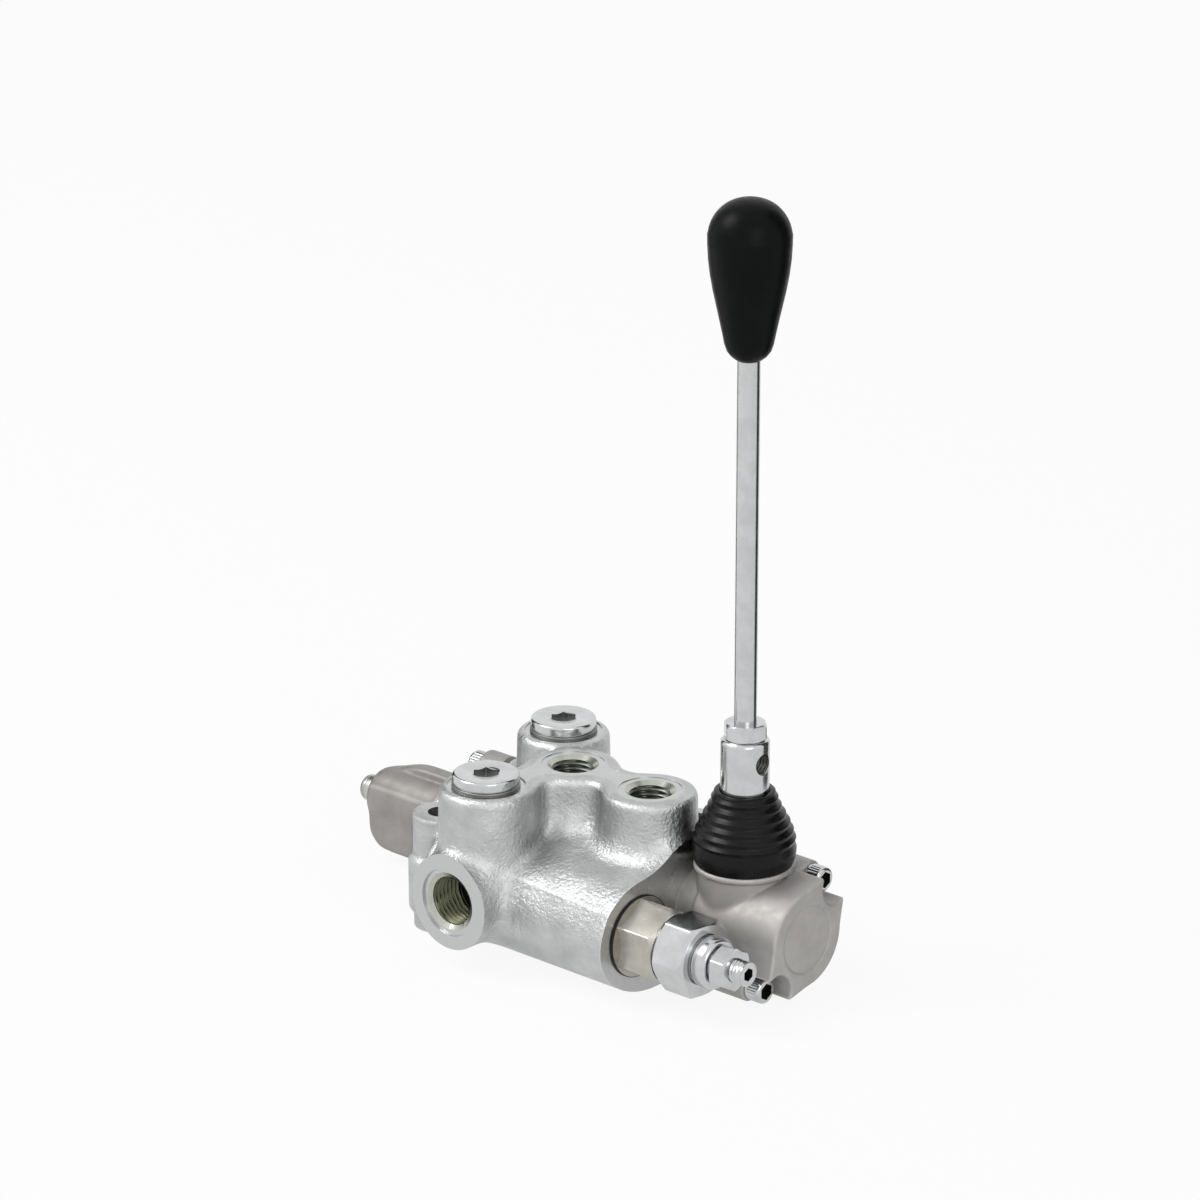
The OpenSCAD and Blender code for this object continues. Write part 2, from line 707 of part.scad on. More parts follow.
module lever_socket() {
    cross_z = socket_bottom + 13.5;
    color("gainsboro") translate([lever_x, spool_y, 0]) difference() {
        rotate_extrude() polygon([[3.5 + fit, socket_bottom], [socket_radius - 0.5, socket_bottom],
            [socket_radius, socket_bottom + 0.5], [socket_radius, socket_top - 0.5],
            [socket_radius - 0.5, socket_top], [3.5 + fit, socket_top]]);
        translate([0, 0, cross_z]) bar_x(0, socket_radius + 1, 3.4);
    }
}

module lever_nut() {
    color("gainsboro") translate([lever_x, spool_y, socket_top]) difference() {
        nut_blank(lever_nut_flats, 5.5);
        translate([0, 0, -1]) cylinder(h = 8, r = rod_radius + fit);
    }
}

module lever_rod() {
    foot = socket_bottom + 8.2;
    color("gainsboro") translate([lever_x, spool_y, 0]) {
        translate([0, 0, foot + 10.4]) cylinder(h = socket_top - foot - 10.4 + 0.1, r = 3.5);
        translate([0, 0, socket_top]) cylinder(h = knob_bottom + 20 - socket_top, r = rod_radius);
    }
}

module lever_knob() {
    r = knob_radius;
    top = knob_bottom + knob_length;
    color("black") translate([lever_x, spool_y, 0]) difference() {
        rotate_extrude() polygon(concat([[0, knob_bottom], [r * 0.45, knob_bottom],
            [r * 0.56, knob_bottom + 1.6], [r * 0.6, knob_bottom + 5], [r * 0.71, knob_bottom + 13],
            [r * 0.87, knob_bottom + 23], [r * 0.975, knob_bottom + 32]],
            [for (a = [0:10:90]) [r * cos(a), top - r + r * sin(a)]]));
        translate([0, 0, knob_bottom - 1]) cylinder(h = 21 + fit, r = rod_radius + fit);
    }
}

module relief_body() {
    color("silver") on_relief() difference() {
        union() {
            translate([body_end + seal_thick, 0, 0]) rotate([0, 90, 0])
                nut_blank(relief_flats, relief_hex_length - seal_thick);
            bar_x(relief_shank_start, body_end + seal_thick + 0.1, relief_shank);
            bar_x(relief_shank_start - 7, relief_shank_start + 1, guide_radius + 1.6);
        }
        bar_x(relief_shank_start - 8, spring_face + relief_lift + gap, guide_radius + fit + 0.9);
        bar_x(spring_face, pusher_start + 1, spring_room);
        bar_x(pusher_start - 4, relief_hex_end + 1, 6.6 + fit);
    }
}

module relief_seal() {
    color("black") on_relief() translate([body_end, 0, 0]) rotate([0, 90, 0]) difference() {
        cylinder(h = seal_thick, r = relief_flats / 2 + 1.3);
        translate([0, 0, -1]) cylinder(h = seal_thick + 2, r = relief_shank + 0.1);
    }
}

module relief_seat() {
    color("silver") on_relief() difference() {
        bar_x(seat_start, seat_end, 5.5);
        bar_x(seat_start - 1, seat_end + 1, seat_hole);
    }
}

module relief_poppet() {
    flange = guide_radius + 0.9;
    color("silver") on_relief() {
        bar_x(seat_end - 1.6, seat_end + 1.4, 1.2, 4.2);
        bar_x(seat_end + 1.4, seat_end + 9, 4.2);
        bar_x(seat_end + 9, spring_face, flange);
        bar_x(spring_face - 0.1, spring_cup + 3, 2.6);
    }
}

module relief_spring() {
    color("dimgray") on_relief() translate([spring_face, 0, 0]) rotate([0, 90, 0])
        coil(pusher_start - spring_face, 8, 4, relief_wire);
}

module relief_pusher() {
    color("silver") on_relief() {
        bar_x(pusher_start, pusher_start + pusher_length, 6.6);
        bar_x(pusher_start - 3, pusher_start + 0.1, 2.6);
    }
}

module relief_screw() {
    color("silver") on_relief() difference() {
        bar_x(pusher_start + pusher_length, adjuster_tip, adjuster_radius);
        translate([adjuster_tip - 4, 0, 0]) rotate([0, 90, 0]) hexagon(4, 5);
    }
}

module relief_cap() {
    neck = 6.6;
    color("gainsboro") on_relief() difference() {
        union() {
            bar_x(relief_hex_end, relief_cap_start + 0.1, relief_flats / 2 - 1.2);
            translate([relief_cap_start, 0, 0]) rotate([0, 90, 0]) rotate([0, 0, 30])
                nut_blank(relief_flats, relief_cap_length, 1.6);
            bar_x(relief_cap_end - 0.5, collar_end - 1, 8.4);
            bar_x(collar_end - 1, collar_end, 8.4, 7.6);
        }
        bar_x(relief_hex_end - 1, relief_hex_end + 3, neck + 0.4);
        bar_x(relief_hex_end, collar_end + 1, adjuster_radius + fit);
    }
}

module relief_locknut() {
    color("gainsboro") on_relief() difference() {
        union() {
            bar_x(collar_end, locknut_start + 0.1, 5.6);
            translate([locknut_start, 0, 0]) rotate([0, 90, 0]) nut_blank(13, locknut_length);
        }
        bar_x(collar_end - 1, locknut_start + locknut_length + 1, adjuster_radius + fit);
    }
}

valve_body();
inlet_plug();
tank_plug();
plug_washers();
check_seat();
check_poppet();
check_spring();
spool();
spool_seals();
spool_bolt();
spring_seat_front();
spring_seat_rear();
centring_spring();
rear_cap();
rear_cap_screws();
rear_cap_plug();
lever_box();
lever_box_screws();
lever_cup();
lever_boot();
lever_ball();
lever_socket();
lever_nut();
lever_rod();
lever_knob();
relief_body();
relief_seal();
relief_seat();
relief_poppet();
relief_spring();
relief_pusher();
relief_screw();
relief_cap();
relief_locknut();
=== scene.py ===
import json
import math

import bpy
import numpy as np
from mathutils import Matrix, Vector


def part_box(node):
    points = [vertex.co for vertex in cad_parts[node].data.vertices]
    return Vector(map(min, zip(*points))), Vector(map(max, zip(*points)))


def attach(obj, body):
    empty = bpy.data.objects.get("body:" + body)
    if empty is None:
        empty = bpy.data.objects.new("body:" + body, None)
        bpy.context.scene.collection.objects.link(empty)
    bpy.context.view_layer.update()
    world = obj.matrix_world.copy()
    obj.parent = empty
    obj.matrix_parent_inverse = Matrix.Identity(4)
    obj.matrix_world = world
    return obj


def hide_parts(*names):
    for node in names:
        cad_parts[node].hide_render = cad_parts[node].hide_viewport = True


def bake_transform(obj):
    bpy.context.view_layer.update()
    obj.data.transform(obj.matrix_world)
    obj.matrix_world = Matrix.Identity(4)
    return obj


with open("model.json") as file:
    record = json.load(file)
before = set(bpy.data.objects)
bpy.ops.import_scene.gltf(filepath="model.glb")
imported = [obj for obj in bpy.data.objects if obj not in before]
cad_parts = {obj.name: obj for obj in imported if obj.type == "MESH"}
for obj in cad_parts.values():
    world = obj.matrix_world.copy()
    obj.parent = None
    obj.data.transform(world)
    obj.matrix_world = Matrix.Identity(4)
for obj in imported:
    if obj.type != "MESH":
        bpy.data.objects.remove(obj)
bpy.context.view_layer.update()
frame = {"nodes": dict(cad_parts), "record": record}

MM = 0.001
CASTING_GRID = 0.7
COVER_GRID = 0.5

# Places and sizes in millimetres; those that reach_mm and centre_mm give are read from the frame


def centre_mm(node):
    """Middle of a CAD node's box, in millimetres."""
    low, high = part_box(node)
    return (np.array(low) + np.array(high)) / 2 / MM


def reach_mm(node):
    """Lowest and highest corner of a CAD node, in millimetres."""
    low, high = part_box(node)
    return np.array(low) / MM, np.array(high) / MM


def screw_axis(side):
    """Y and Z of the upper (1) or lower (-1) fixing screw of both end covers."""
    return SPOOL_Y + side * SCREW_OFFSET[0], SPOOL_Z + side * SCREW_OFFSET[1]


BODY_LOW, BODY_HIGH = reach_mm("valve_body")
LEVER_X, LEVER_Y = centre_mm("lever_rod")[:2]
SPOOL_Y, SPOOL_Z = centre_mm("spool")[1:]
RELIEF_Y, RELIEF_Z = centre_mm("relief_cap")[1:]
INLET_X, INLET_Y = centre_mm("inlet_plug")[:2]
TANK_X, TANK_Y = centre_mm("tank_plug")[:2]
BOX_END = reach_mm("lever_box")[1][0]
CAP_END = reach_mm("rear_cap")[0][0]
PORT_PLANE = BODY_HIGH[2]
PORT_A = (0.0, 0.0)
PORT_B = (34.0, 0.0)
SIDE_PORT_Z = 24.0
SHOULDER = 39.0
BOSS_RADIUS = 15.5
SCREW_OFFSET = (14.4, 15.0)
MOUNT_HOLES = ((-37.0, -24.5), (29.0, 27.5))
MOUNT_RADIUS = 4.5
# Highest X of the casting, at the bulge of port B's boss; the end plane of the solid is 2.6 mm lower
BODY_END = BODY_HIGH[0]
PAD_RADIUS = 16.2
POST_RADIUS = 9.4
FLANGE_RADIUS = 11.1
FLANGE_TOP = 25.4
LUG_RADIUS = 5.7
BARREL_RADIUS = 16.7
FLANGE_END = BODY_END + 7
RIDGE_RADIUS = 10.0
CAP_FACE = CAP_END + 6.5
LOWER_WING = CAP_FACE + 1.2
CAP_CAVITY_END = reach_mm("spool_bolt")[0][0] - 6.2
THREAD_DEPTH = 0.9
THREAD_PITCH = 1.8
PLUG_SPOT_RADIUS = 13
PLUG_BORE = 7.5
SPOOL_BORE = 8.0
RELIEF_BORE = 9.43
SCREW_TIP = 36.0
SCREW_HOLE = 3.2
SCREW_THREAD_HOLE = 3.05
STUD_RADIUS = 4.0
STUD_HOLE = 4.05
M8_PITCH = 1.25
M8_NUT = 13
ROD_HOLE = 3.73
LUG_END = BOX_END - 11
CAP_FOOT = -BODY_END - 10
TURRET_TOP = reach_mm("lever_boot")[0][2] - 0.02
TURRET_RADIUS = 15.0

# Distance fields


def smooth_min(a, b, k):
    """Union of two fields with a fillet of about k millimetres."""
    h = np.clip(0.5 + 0.5 * (b - a) / k, 0, 1)
    return b * (1 - h) + a * h - k * h * (1 - h)


def smooth_max(a, b, k):
    """Intersection of two fields with a rounded edge."""
    return -smooth_min(-a, -b, k)


def slab(v, low, high):
    """Distance to the space between two parallel planes."""
    return np.maximum(low - v, v - high)


def round_box(x, y, z, low, high, r):
    """Distance to a box with rounded edges."""
    q = [np.abs(v - (a + b) / 2) - (b - a) / 2 + r for v, a, b in zip((x, y, z), low, high)]
    outside = np.sqrt(sum(np.maximum(v, 0) ** 2 for v in q))
    inside = np.minimum(np.maximum(np.maximum(q[0], q[1]), q[2]), 0)
    return outside + inside - r


def surface_net(field, low, step):
    """Closed quad mesh of the surface where the field is zero."""
    inside = field < 0
    cells = tuple(n - 1 for n in field.shape)
    total = np.zeros(cells + (3,), np.float32)
    count = np.zeros(cells, np.int16)
    for axis in range(3):
        a, b = (axis + 1) % 3, (axis + 2) % 3
        for da in (0, 1):
            for db in (0, 1):
                near = [0, 0, 0]
                near[a], near[b] = da, db
                far = list(near)
                far[axis] = 1
                s0 = tuple(slice(o, o + c) for o, c in zip(near, cells))
                s1 = tuple(slice(o, o + c) for o, c in zip(far, cells))
                cross = inside[s0] != inside[s1]
                gap = np.where(cross, field[s0] - field[s1], 1)
                total[..., axis] += np.where(cross, field[s0] / gap, 0)
                total[..., a] += cross * da
                total[..., b] += cross * db
                count += cross
    active = count > 0
    index = np.full(cells, -1, np.int64)
    index[active] = np.arange(int(active.sum()))
    verts = (np.argwhere(active) + total[active] / count[active][:, None]) * step + np.array(low)
    quads = []
    for axis in range(3):
        a, b = (axis + 1) % 3, (axis + 2) % 3
        shape = [slice(1, n - 1) for n in field.shape]
        near, far = list(shape), list(shape)
        near[axis], far[axis] = slice(0, -1), slice(1, None)
        s0, s1 = inside[tuple(near)], inside[tuple(far)]
        for flip, mask in ((False, s0 & ~s1), (True, ~s0 & s1)):
            at = np.argwhere(mask)
            for other in (a, b):
                at[:, other] += 1
            ring = []
            for da, db in ((0, 0), (1, 0), (1, 1), (0, 1)):
                p = at.copy()
                p[:, a] -= da
                p[:, b] -= db
                ring.append(index[p[:, 0], p[:, 1], p[:, 2]])
            quad = np.stack(ring, axis=1)
            quads.append(quad[:, ::-1] if flip else quad)
    return verts, np.concatenate(quads)


def field_mesh(name, field, low, high, step):
    """Object made from a distance field sampled on a grid."""
    axes = [np.arange(a, b + step, step, dtype=np.float32) for a, b in zip(low, high)]
    x, y, z = axes[0][:, None, None], axes[1][None, :, None], axes[2][None, None, :]
    values = np.array(np.broadcast_to(field(x, y, z), tuple(len(v) for v in axes)), np.float32)
    for axis in range(3):
        for end in (0, -1):
            rim = [slice(None)] * 3
            rim[axis] = end
            values[tuple(rim)] = np.maximum(values[tuple(rim)], step)
    verts, quads = surface_net(values, low, step)
    return mesh_object(name, verts, quads)


# Meshes


def mesh_object(name, verts_mm, faces):
    """Object from vertices in millimetres and faces."""
    verts = np.asarray(verts_mm, float) * MM
    mesh = bpy.data.meshes.new(name)
    mesh.from_pydata(verts.tolist(), [], [list(map(int, f)) for f in faces])
    mesh.validate()
    obj = bpy.data.objects.new(name, mesh)
    bpy.context.scene.collection.objects.link(obj)
    return obj


AXES = {"x": (1, 0, 0), "y": (0, 1, 0), "z": (0, 0, 1), "-x": (-1, 0, 0), "-y": (0, -1, 0), "-z": (0, 0, -1)}


def placed(verts, origin, axis):
    """Points with their own Z turned to an axis and moved to an origin."""
    direction = Vector(AXES[axis])
    turn = Vector((0, 0, 1)).rotation_difference(direction).to_matrix()
    return np.asarray(verts, float) @ np.array(turn).T + np.array(origin, float)


def soften(points, closed=False, steps=4):
    """Outline with rounded corners; each point is (x, y) or (x, y, corner radius)."""
    out = []
    n = len(points)
    for i, point in enumerate(points):
        here = np.array(point[:2], float)
        if len(point) < 3 or (not closed and i in (0, n - 1)):
            out.append(tuple(here))
            continue
        before = np.array(points[i - 1][:2], float) - here
        after = np.array(points[(i + 1) % n][:2], float) - here
        reach = min(point[2], 0.49 * np.linalg.norm(before), 0.49 * np.linalg.norm(after))
        a = here + before / np.linalg.norm(before) * reach
        b = here + after / np.linalg.norm(after) * reach
        for t in np.linspace(0, 1, steps + 1):
            out.append(tuple((1 - t) ** 2 * a + 2 * t * (1 - t) * here + t * t * b))
    return out


def ring_points(radii, heights, steps, phase=0.0):
    """Rings of points; each radius is a number or one value for each step."""
    angle = np.arange(steps) / steps * 2 * math.pi + phase
    rings = []
    for r, h in zip(radii, heights):
        rings.append(np.stack([r * np.cos(angle), r * np.sin(angle), np.full(steps, h)], axis=1))
    return np.concatenate(rings)


def ring_faces(rings, steps, wrap=False):
    """Quads between neighbouring rings."""
    faces = []
    for i in range(rings if wrap else rings - 1):
        k = (i + 1) % rings
        for j in range(steps):
            n = (j + 1) % steps
            faces.append((i * steps + j, i * steps + n, k * steps + n, k * steps + j))
    return faces


def stacked(name, radii, heights, origin, axis, steps):
    """Solid of stacked rings, closed on the axis at both ends."""
    verts = ring_points(radii, heights, steps)
    faces = ring_faces(len(heights), steps)
    n = len(verts)
    verts = np.concatenate([verts, [[0, 0, heights[0]], [0, 0, heights[-1]]]])
    last = n - steps
    for j in range(steps):
        k = (j + 1) % steps
        faces.append((n, k, j))
        faces.append((n + 1, last + j, last + k))
    return mesh_object(name, placed(verts, origin, axis), faces)


def lathe(name, profile, origin=(0, 0, 0), axis="z", steps=96):
    """Solid of revolution from a profile that runs upwards as (radius, height)."""
    return stacked(name, [p[0] for p in profile], [p[1] for p in profile], origin, axis, steps)


def tube(name, profile, origin=(0, 0, 0), axis="z", steps=96):
    """Ring-shaped solid from a closed profile that runs anticlockwise as (radius, height)."""
    verts = ring_points([p[0] for p in profile], [p[1] for p in profile], steps)
    return mesh_object(name, placed(verts, origin, axis), ring_faces(len(profile), steps, True))


def screw_thread(name, radius, depth, pitch, length, origin, axis, outward, steps=72):
    """Round bar with a helical thread that fades out at both ends."""
    rows = int(length / pitch * 10)
    heights = np.linspace(0, length, rows + 1)
    turn = np.arange(steps) / steps
    radii = []
    for h in heights:
        wave = np.abs(((h / pitch - turn) % 1.0) * 2 - 1)
        wave = np.clip(wave * 1.3 - 0.15, 0, 1)
        fade = min(1.0, h / pitch, (length - h) / pitch)
        radii.append(radius + depth * fade * (wave if outward else wave - 1))
    return stacked(name, radii, heights, origin, axis, steps)


def prism(name, outline, h0, h1, origin=(0, 0, 0), axis="z"):
    """Straight prism from an outline in its own XY plane."""
    n = len(outline)
    verts = [(p[0], p[1], h0) for p in outline] + [(p[0], p[1], h1) for p in outline]
    faces = [tuple(range(n - 1, -1, -1)), tuple(range(n, 2 * n))]
    faces += [(i, (i + 1) % n, n + (i + 1) % n, n + i) for i in range(n)]
    return mesh_object(name, placed(verts, origin, axis), faces)


def hexagon(name, flats, h0, h1, origin=(0, 0, 0), axis="z", turn=0.0, edge=0.0):
    """Hexagonal prism with corners on its own X when turn is zero."""
    corner = flats / math.sqrt(3)
    angles = [math.radians(60 * i + turn) for i in range(6)]
    points = [(corner * math.cos(a), corner * math.sin(a), edge) for a in angles]
    return prism(name, soften(points, True, 3) if edge else points, h0, h1, origin, axis)


def box(name, low, high):
    """Plain block used as a cutter."""
    points = [(low[0], low[1]), (high[0], low[1]), (high[0], high[1]), (low[0], high[1])]
    return prism(name, points, low[2], high[2])


def combine(obj, tool, operation, material=None):
    """Applies a boolean with another object, which is then deleted. New faces take the tool's material."""
    if material is not None:
        tool.data.materials.clear()
        tool.data.materials.append(material)
    mod = obj.modifiers.new("combine", "BOOLEAN")
    mod.operation = operation
    mod.solver = "MANIFOLD"
    mod.object = tool
    mod.material_mode = "TRANSFER"
    graph = bpy.context.evaluated_depsgraph_get()
    made = bpy.data.meshes.new_from_object(obj.evaluated_get(graph))
    obj.modifiers.clear()
    old = obj.data
    obj.data = made
    bpy.data.meshes.remove(old)
    bpy.data.objects.remove(tool)
    return obj


def cut(obj, tool, material=None):
    """Takes the tool away from the object."""
    return combine(obj, tool, "DIFFERENCE", material)


def drill(obj, radius, start, end, origin, axis, material=None):
    """Cuts a round hole between two heights on the axis through the origin."""
    tool = lathe("hole", [(radius, start), (radius, end)], origin, axis)
    return cut(obj, tool, MATERIALS[material] if material else None)


def common(obj, tool, material=None):
    """Keeps what the object and the tool share."""
    return combine(obj, tool, "INTERSECT", material)


def join(obj, tool, material=None):
    """Adds the tool to the object."""
    return combine(obj, tool, "UNION", material)


def finish_mesh(obj, angle=34):
    """Smooth shading with edges sharper than the angle kept crisp."""
    for polygon in obj.data.polygons:
        polygon.use_smooth = True
    obj.data.set_sharp_from_angle(angle=math.radians(angle))
    return obj


# Materials


class Shader:
    """Small helper that builds one node material around a Principled shader."""

    def __init__(self, name, colour, metallic, roughness):
        self.material = bpy.data.materials.new(name)
        self.material.use_nodes = True
        self.tree = self.material.node_tree
        self.bsdf = self.tree.nodes["Principled BSDF"]
        self.bsdf.inputs["Base Color"].default_value = (*colour, 1)
        self.bsdf.inputs["Metallic"].default_value = metallic
        self.bsdf.inputs["Roughness"].default_value = roughness
        self.coords = self.tree.nodes.new("ShaderNodeTexCoord").outputs["Object"]

    def node(self, kind, **values):
        made = self.tree.nodes.new(kind)
        for key, value in values.items():
            setattr(made, key, value)
        return made

    def link(self, a, b):
        self.tree.links.new(a, b)

    def texture(self, kind, size_mm, stretch=(1, 1, 1), **values):
        """Texture node whose features are about size_mm wide."""
        mapping = self.node("ShaderNodeMapping")
        mapping.inputs["Scale"].default_value = [s / (size_mm * MM) for s in stretch]
        self.link(self.coords, mapping.inputs["Vector"])
        made = self.node(kind, **values)
        made.inputs["Scale"].default_value = 1.0
        self.link(mapping.outputs["Vector"], made.inputs["Vector"])
        return made

    def noise(self, size_mm, detail=3.0, rough=0.5, stretch=(1, 1, 1)):
        """Soft noise; stretch makes it longer or shorter along each axis."""
        made = self.texture("ShaderNodeTexNoise", size_mm, stretch)
        made.inputs["Detail"].default_value = detail
        made.inputs["Roughness"].default_value = rough
        return made.outputs["Fac"]

    def spots(self, size_mm):
        """Rounded cells, as left by sand grains."""
        return self.texture("ShaderNodeTexVoronoi", size_mm, feature="SMOOTH_F1").outputs["Distance"]

    def remap(self, value, low, high, start=0.0, end=1.0):
        """Turns the range from start to end into the range from low to high."""
        made = self.node("ShaderNodeMapRange")
        for key, number in (("From Min", start), ("From Max", end), ("To Min", low), ("To Max", high)):
            made.inputs[key].default_value = number
        self.link(value, made.inputs["Value"])
        return made.outputs["Result"]

    def blend(self, factor, a, b):
        """Goes from colour a at zero to colour b at one; a may be the output of an earlier blend."""
        made = self.node("ShaderNodeMix", data_type="RGBA")
        if isinstance(a, tuple):
            made.inputs["A"].default_value = (*a, 1)
        else:
            self.link(a, made.inputs["A"])
        made.inputs["B"].default_value = (*b, 1)
        self.link(factor, made.inputs["Factor"])
        return made.outputs["Result"]

    def edges(self, low, high, at_low=0, at_high=1):
        """From zero in hollows and on flats to one on outer edges."""
        pointiness = self.node("ShaderNodeNewGeometry").outputs["Pointiness"]
        return self.remap(pointiness, at_low, at_high, low, high)

    def hollows(self, low, high):
        """From zero on flats to one in creases; the materials use it to paint shade there."""
        return self.edges(low, high, 1, 0)

    def bump(self, *layers):
        """Stacked bumps, each as (height, depth in millimetres)."""
        normal = None
        for height, depth in layers:
            made = self.node("ShaderNodeBump")
            made.inputs["Distance"].default_value = depth * MM
            made.inputs["Strength"].default_value = 1.0
            self.link(height, made.inputs["Height"])
            if normal is not None:
                self.link(normal, made.inputs["Normal"])
            normal = made.outputs["Normal"]
        self.link(normal, self.bsdf.inputs["Normal"])

    def colour(self, output):
        self.link(output, self.bsdf.inputs["Base Color"])

    def roughness(self, output):
        self.link(output, self.bsdf.inputs["Roughness"])


def make_cast():
    """Bright zinc over sand-cast iron, with random patches, lighter edges that are partly wear and partly a
    painted highlight, and painted shade in the creases.
    """
    s = Shader("cast_zinc", (0.45, 0.46, 0.455), 1.0, 0.38)
    patches = s.noise(9, 4)
    skin = s.blend(s.remap(patches, 0, 1, 0.3, 0.7), (0.46, 0.47, 0.467), (0.59, 0.60, 0.594))
    # Outer edges lighter: partly edge wear, partly a painted highlight on crests and rims.
    wear_and_highlight = s.blend(s.edges(0.51, 0.56), skin, (0.72, 0.73, 0.72))
    # Creases darkened almost to black: painted shade where corners and fillets fall into shadow.
    s.colour(s.blend(s.hollows(0.44, 0.495), wear_and_highlight, (0.16, 0.16, 0.155)))
    s.roughness(s.remap(s.noise(5, 3), 0.30, 0.46, 0.3, 0.7))
    s.bump((s.noise(4.5, 1), 0.12), (s.noise(1.8, 4, 0.7), 0.45), (s.spots(1.0), 0.12))
    return s.material


def make_plated(name, colour, rough, grain=1.0):
    """Zinc plate over a machined surface."""
    s = Shader(name, colour, 1.0, rough)
    dark = tuple(c * 0.9 for c in colour)
    s.colour(s.blend(s.remap(s.noise(4, 3), 0, 1, 0.35, 0.65), dark, colour))
    s.roughness(s.remap(s.noise(6, 3), rough * 0.8, rough * 1.25, 0.3, 0.7))
    s.bump((s.noise(7, 2), 0.014 * grain))
    return s.material


def make_turned(name, colour, rough):
    """Plated face with the fine lines of a milling cutter."""
    s = Shader(name, colour, 1.0, rough)
    s.roughness(s.remap(s.noise(3, 3), rough * 0.8, rough * 1.3, 0.3, 0.7))
    s.bump((s.noise(0.5, 2, stretch=(1, 0.12, 1)), 0.012))
    return s.material


def make_die_cast(name, light, dark):
    """Blasted zinc die casting, with lighter edges that are partly wear and partly a painted highlight, and
    painted shade in the creases.
    """
    s = Shader(name, light, 0.75, 0.6)
    skin = s.blend(s.remap(s.noise(11, 4), 0, 1, 0.3, 0.7), dark, light)
    # Outer edges lighter: partly edge wear, partly a painted highlight.
    wear_and_highlight = s.blend(s.edges(0.52, 0.60), skin, tuple(c * 1.35 for c in light))
    # Creases darkened: painted shade.
    s.colour(s.blend(s.hollows(0.42, 0.49), wear_and_highlight, tuple(c * 0.35 for c in dark)))
    s.roughness(s.remap(s.noise(3, 3), 0.54, 0.68, 0.3, 0.7))
    s.bump((s.noise(0.5, 3), 0.03), (s.noise(7, 1), 0.05))
    return s.material


def make_rubber(name, colour, rough, size, depth, sheen=0.25):
    """Black rubber or plastic."""
    s = Shader(name, colour, 0.0, rough)
    s.bsdf.inputs["Specular IOR Level"].default_value = sheen
    s.colour(s.blend(s.remap(s.noise(6, 3), 0, 1, 0.3, 0.7), tuple(c * 0.7 for c in colour), colour))
    s.roughness(s.remap(s.noise(2.2, 4), rough * 0.8, rough * 1.2, 0.3, 0.7))
    s.bump((s.noise(size, 3), depth))
    return s.material


MATERIALS = {
    "cast_plated": make_cast(),
    # Near-black for holes and key sockets: partly bare metal deep inside, partly painted shade in the hole.
    "hollow": make_plated("hole_bare_and_shade", (0.10, 0.10, 0.085), 0.42),
    "plated_dull": make_plated("dull_zinc", (0.54, 0.54, 0.53), 0.36),
    # Darker zinc for the walls of key sockets and hole mouths: painted shade in the recess.
    "recess": make_plated("key_recess_shade", (0.34, 0.35, 0.35), 0.30),
    "seat_ring": make_plated("seat_ring", (0.50, 0.51, 0.45), 0.24),
    "machined": make_turned("machined_zinc", (0.56, 0.57, 0.565), 0.30),
    # Dark zinc for threads inside bores: painted shade in the bore.
    "thread": make_plated("thread_zinc_shaded", (0.20, 0.21, 0.185), 0.34),
    # Olive tint of passivated threads, darkened further as painted shade in the bore.
    "thread_olive_and_shade": make_plated("thread_olive_and_shade", (0.125, 0.13, 0.085), 0.36),
    "plated": make_plated("bright_zinc", (0.62, 0.63, 0.635), 0.18),
    "plated_warm": make_plated("warm_zinc", (0.50, 0.48, 0.43), 0.24),
    # Darker than the plugs: partly plain steel, partly painted shade under the plug heads.
    "washer_steel": make_plated("washer_steel_and_shade", (0.33, 0.33, 0.32), 0.40),
    "steel": make_plated("plain_steel", (0.36, 0.37, 0.375), 0.30),
    "spring_steel": make_plated("spring_wire", (0.30, 0.30, 0.31), 0.35),
    "die_cast": make_die_cast("lever_box_zinc", (0.50, 0.485, 0.47), (0.43, 0.415, 0.40)),
    # Darker copy of the lever box material for the rear cap: painted shade on its flanks.
    "cap_cast_shaded": make_die_cast("cap_zinc_shaded", (0.40, 0.385, 0.37), (0.33, 0.315, 0.30)),
    "seal_rubber": make_rubber("seal_rubber", (0.018, 0.018, 0.018), 0.5, 0.4, 0.01),
    "boot_rubber": make_rubber("boot_rubber", (0.004, 0.004, 0.0045), 0.30, 0.35, 0.006, 0.2),
    "cup_plastic": make_rubber("cup_plastic", (0.62, 0.58, 0.50), 0.45, 0.6, 0.01),
    "knob_plastic": make_rubber("knob_plastic", (0.004, 0.0045, 0.0045), 0.36, 0.5, 0.008, 0.08),
}


def dress(obj, body, slot, *replaced, material=None, angle=34):
    """Last step for every new piece: shading, material, body, slot and the nodes it stands for."""
    if not obj.data.materials:
        obj.data.materials.append(None)
    for place, held in enumerate(obj.data.materials):
        if held is None:
            obj.data.materials[place] = MATERIALS[material or slot]
    finish_mesh(obj, angle)
    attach(obj, body)
    if replaced:
        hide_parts(*replaced)
    return obj


# CAD nodes that stay


def dress_nodes():
    """Gives every CAD node its material, from the slot that the record names."""
    for part in frame["record"]["subparts"]:
        obj = frame["nodes"][part["node"]]
        obj.data.materials.clear()
        obj.data.materials.append(MATERIALS[part["material_slot"]])
        finish_mesh(obj, 30)


# Casting


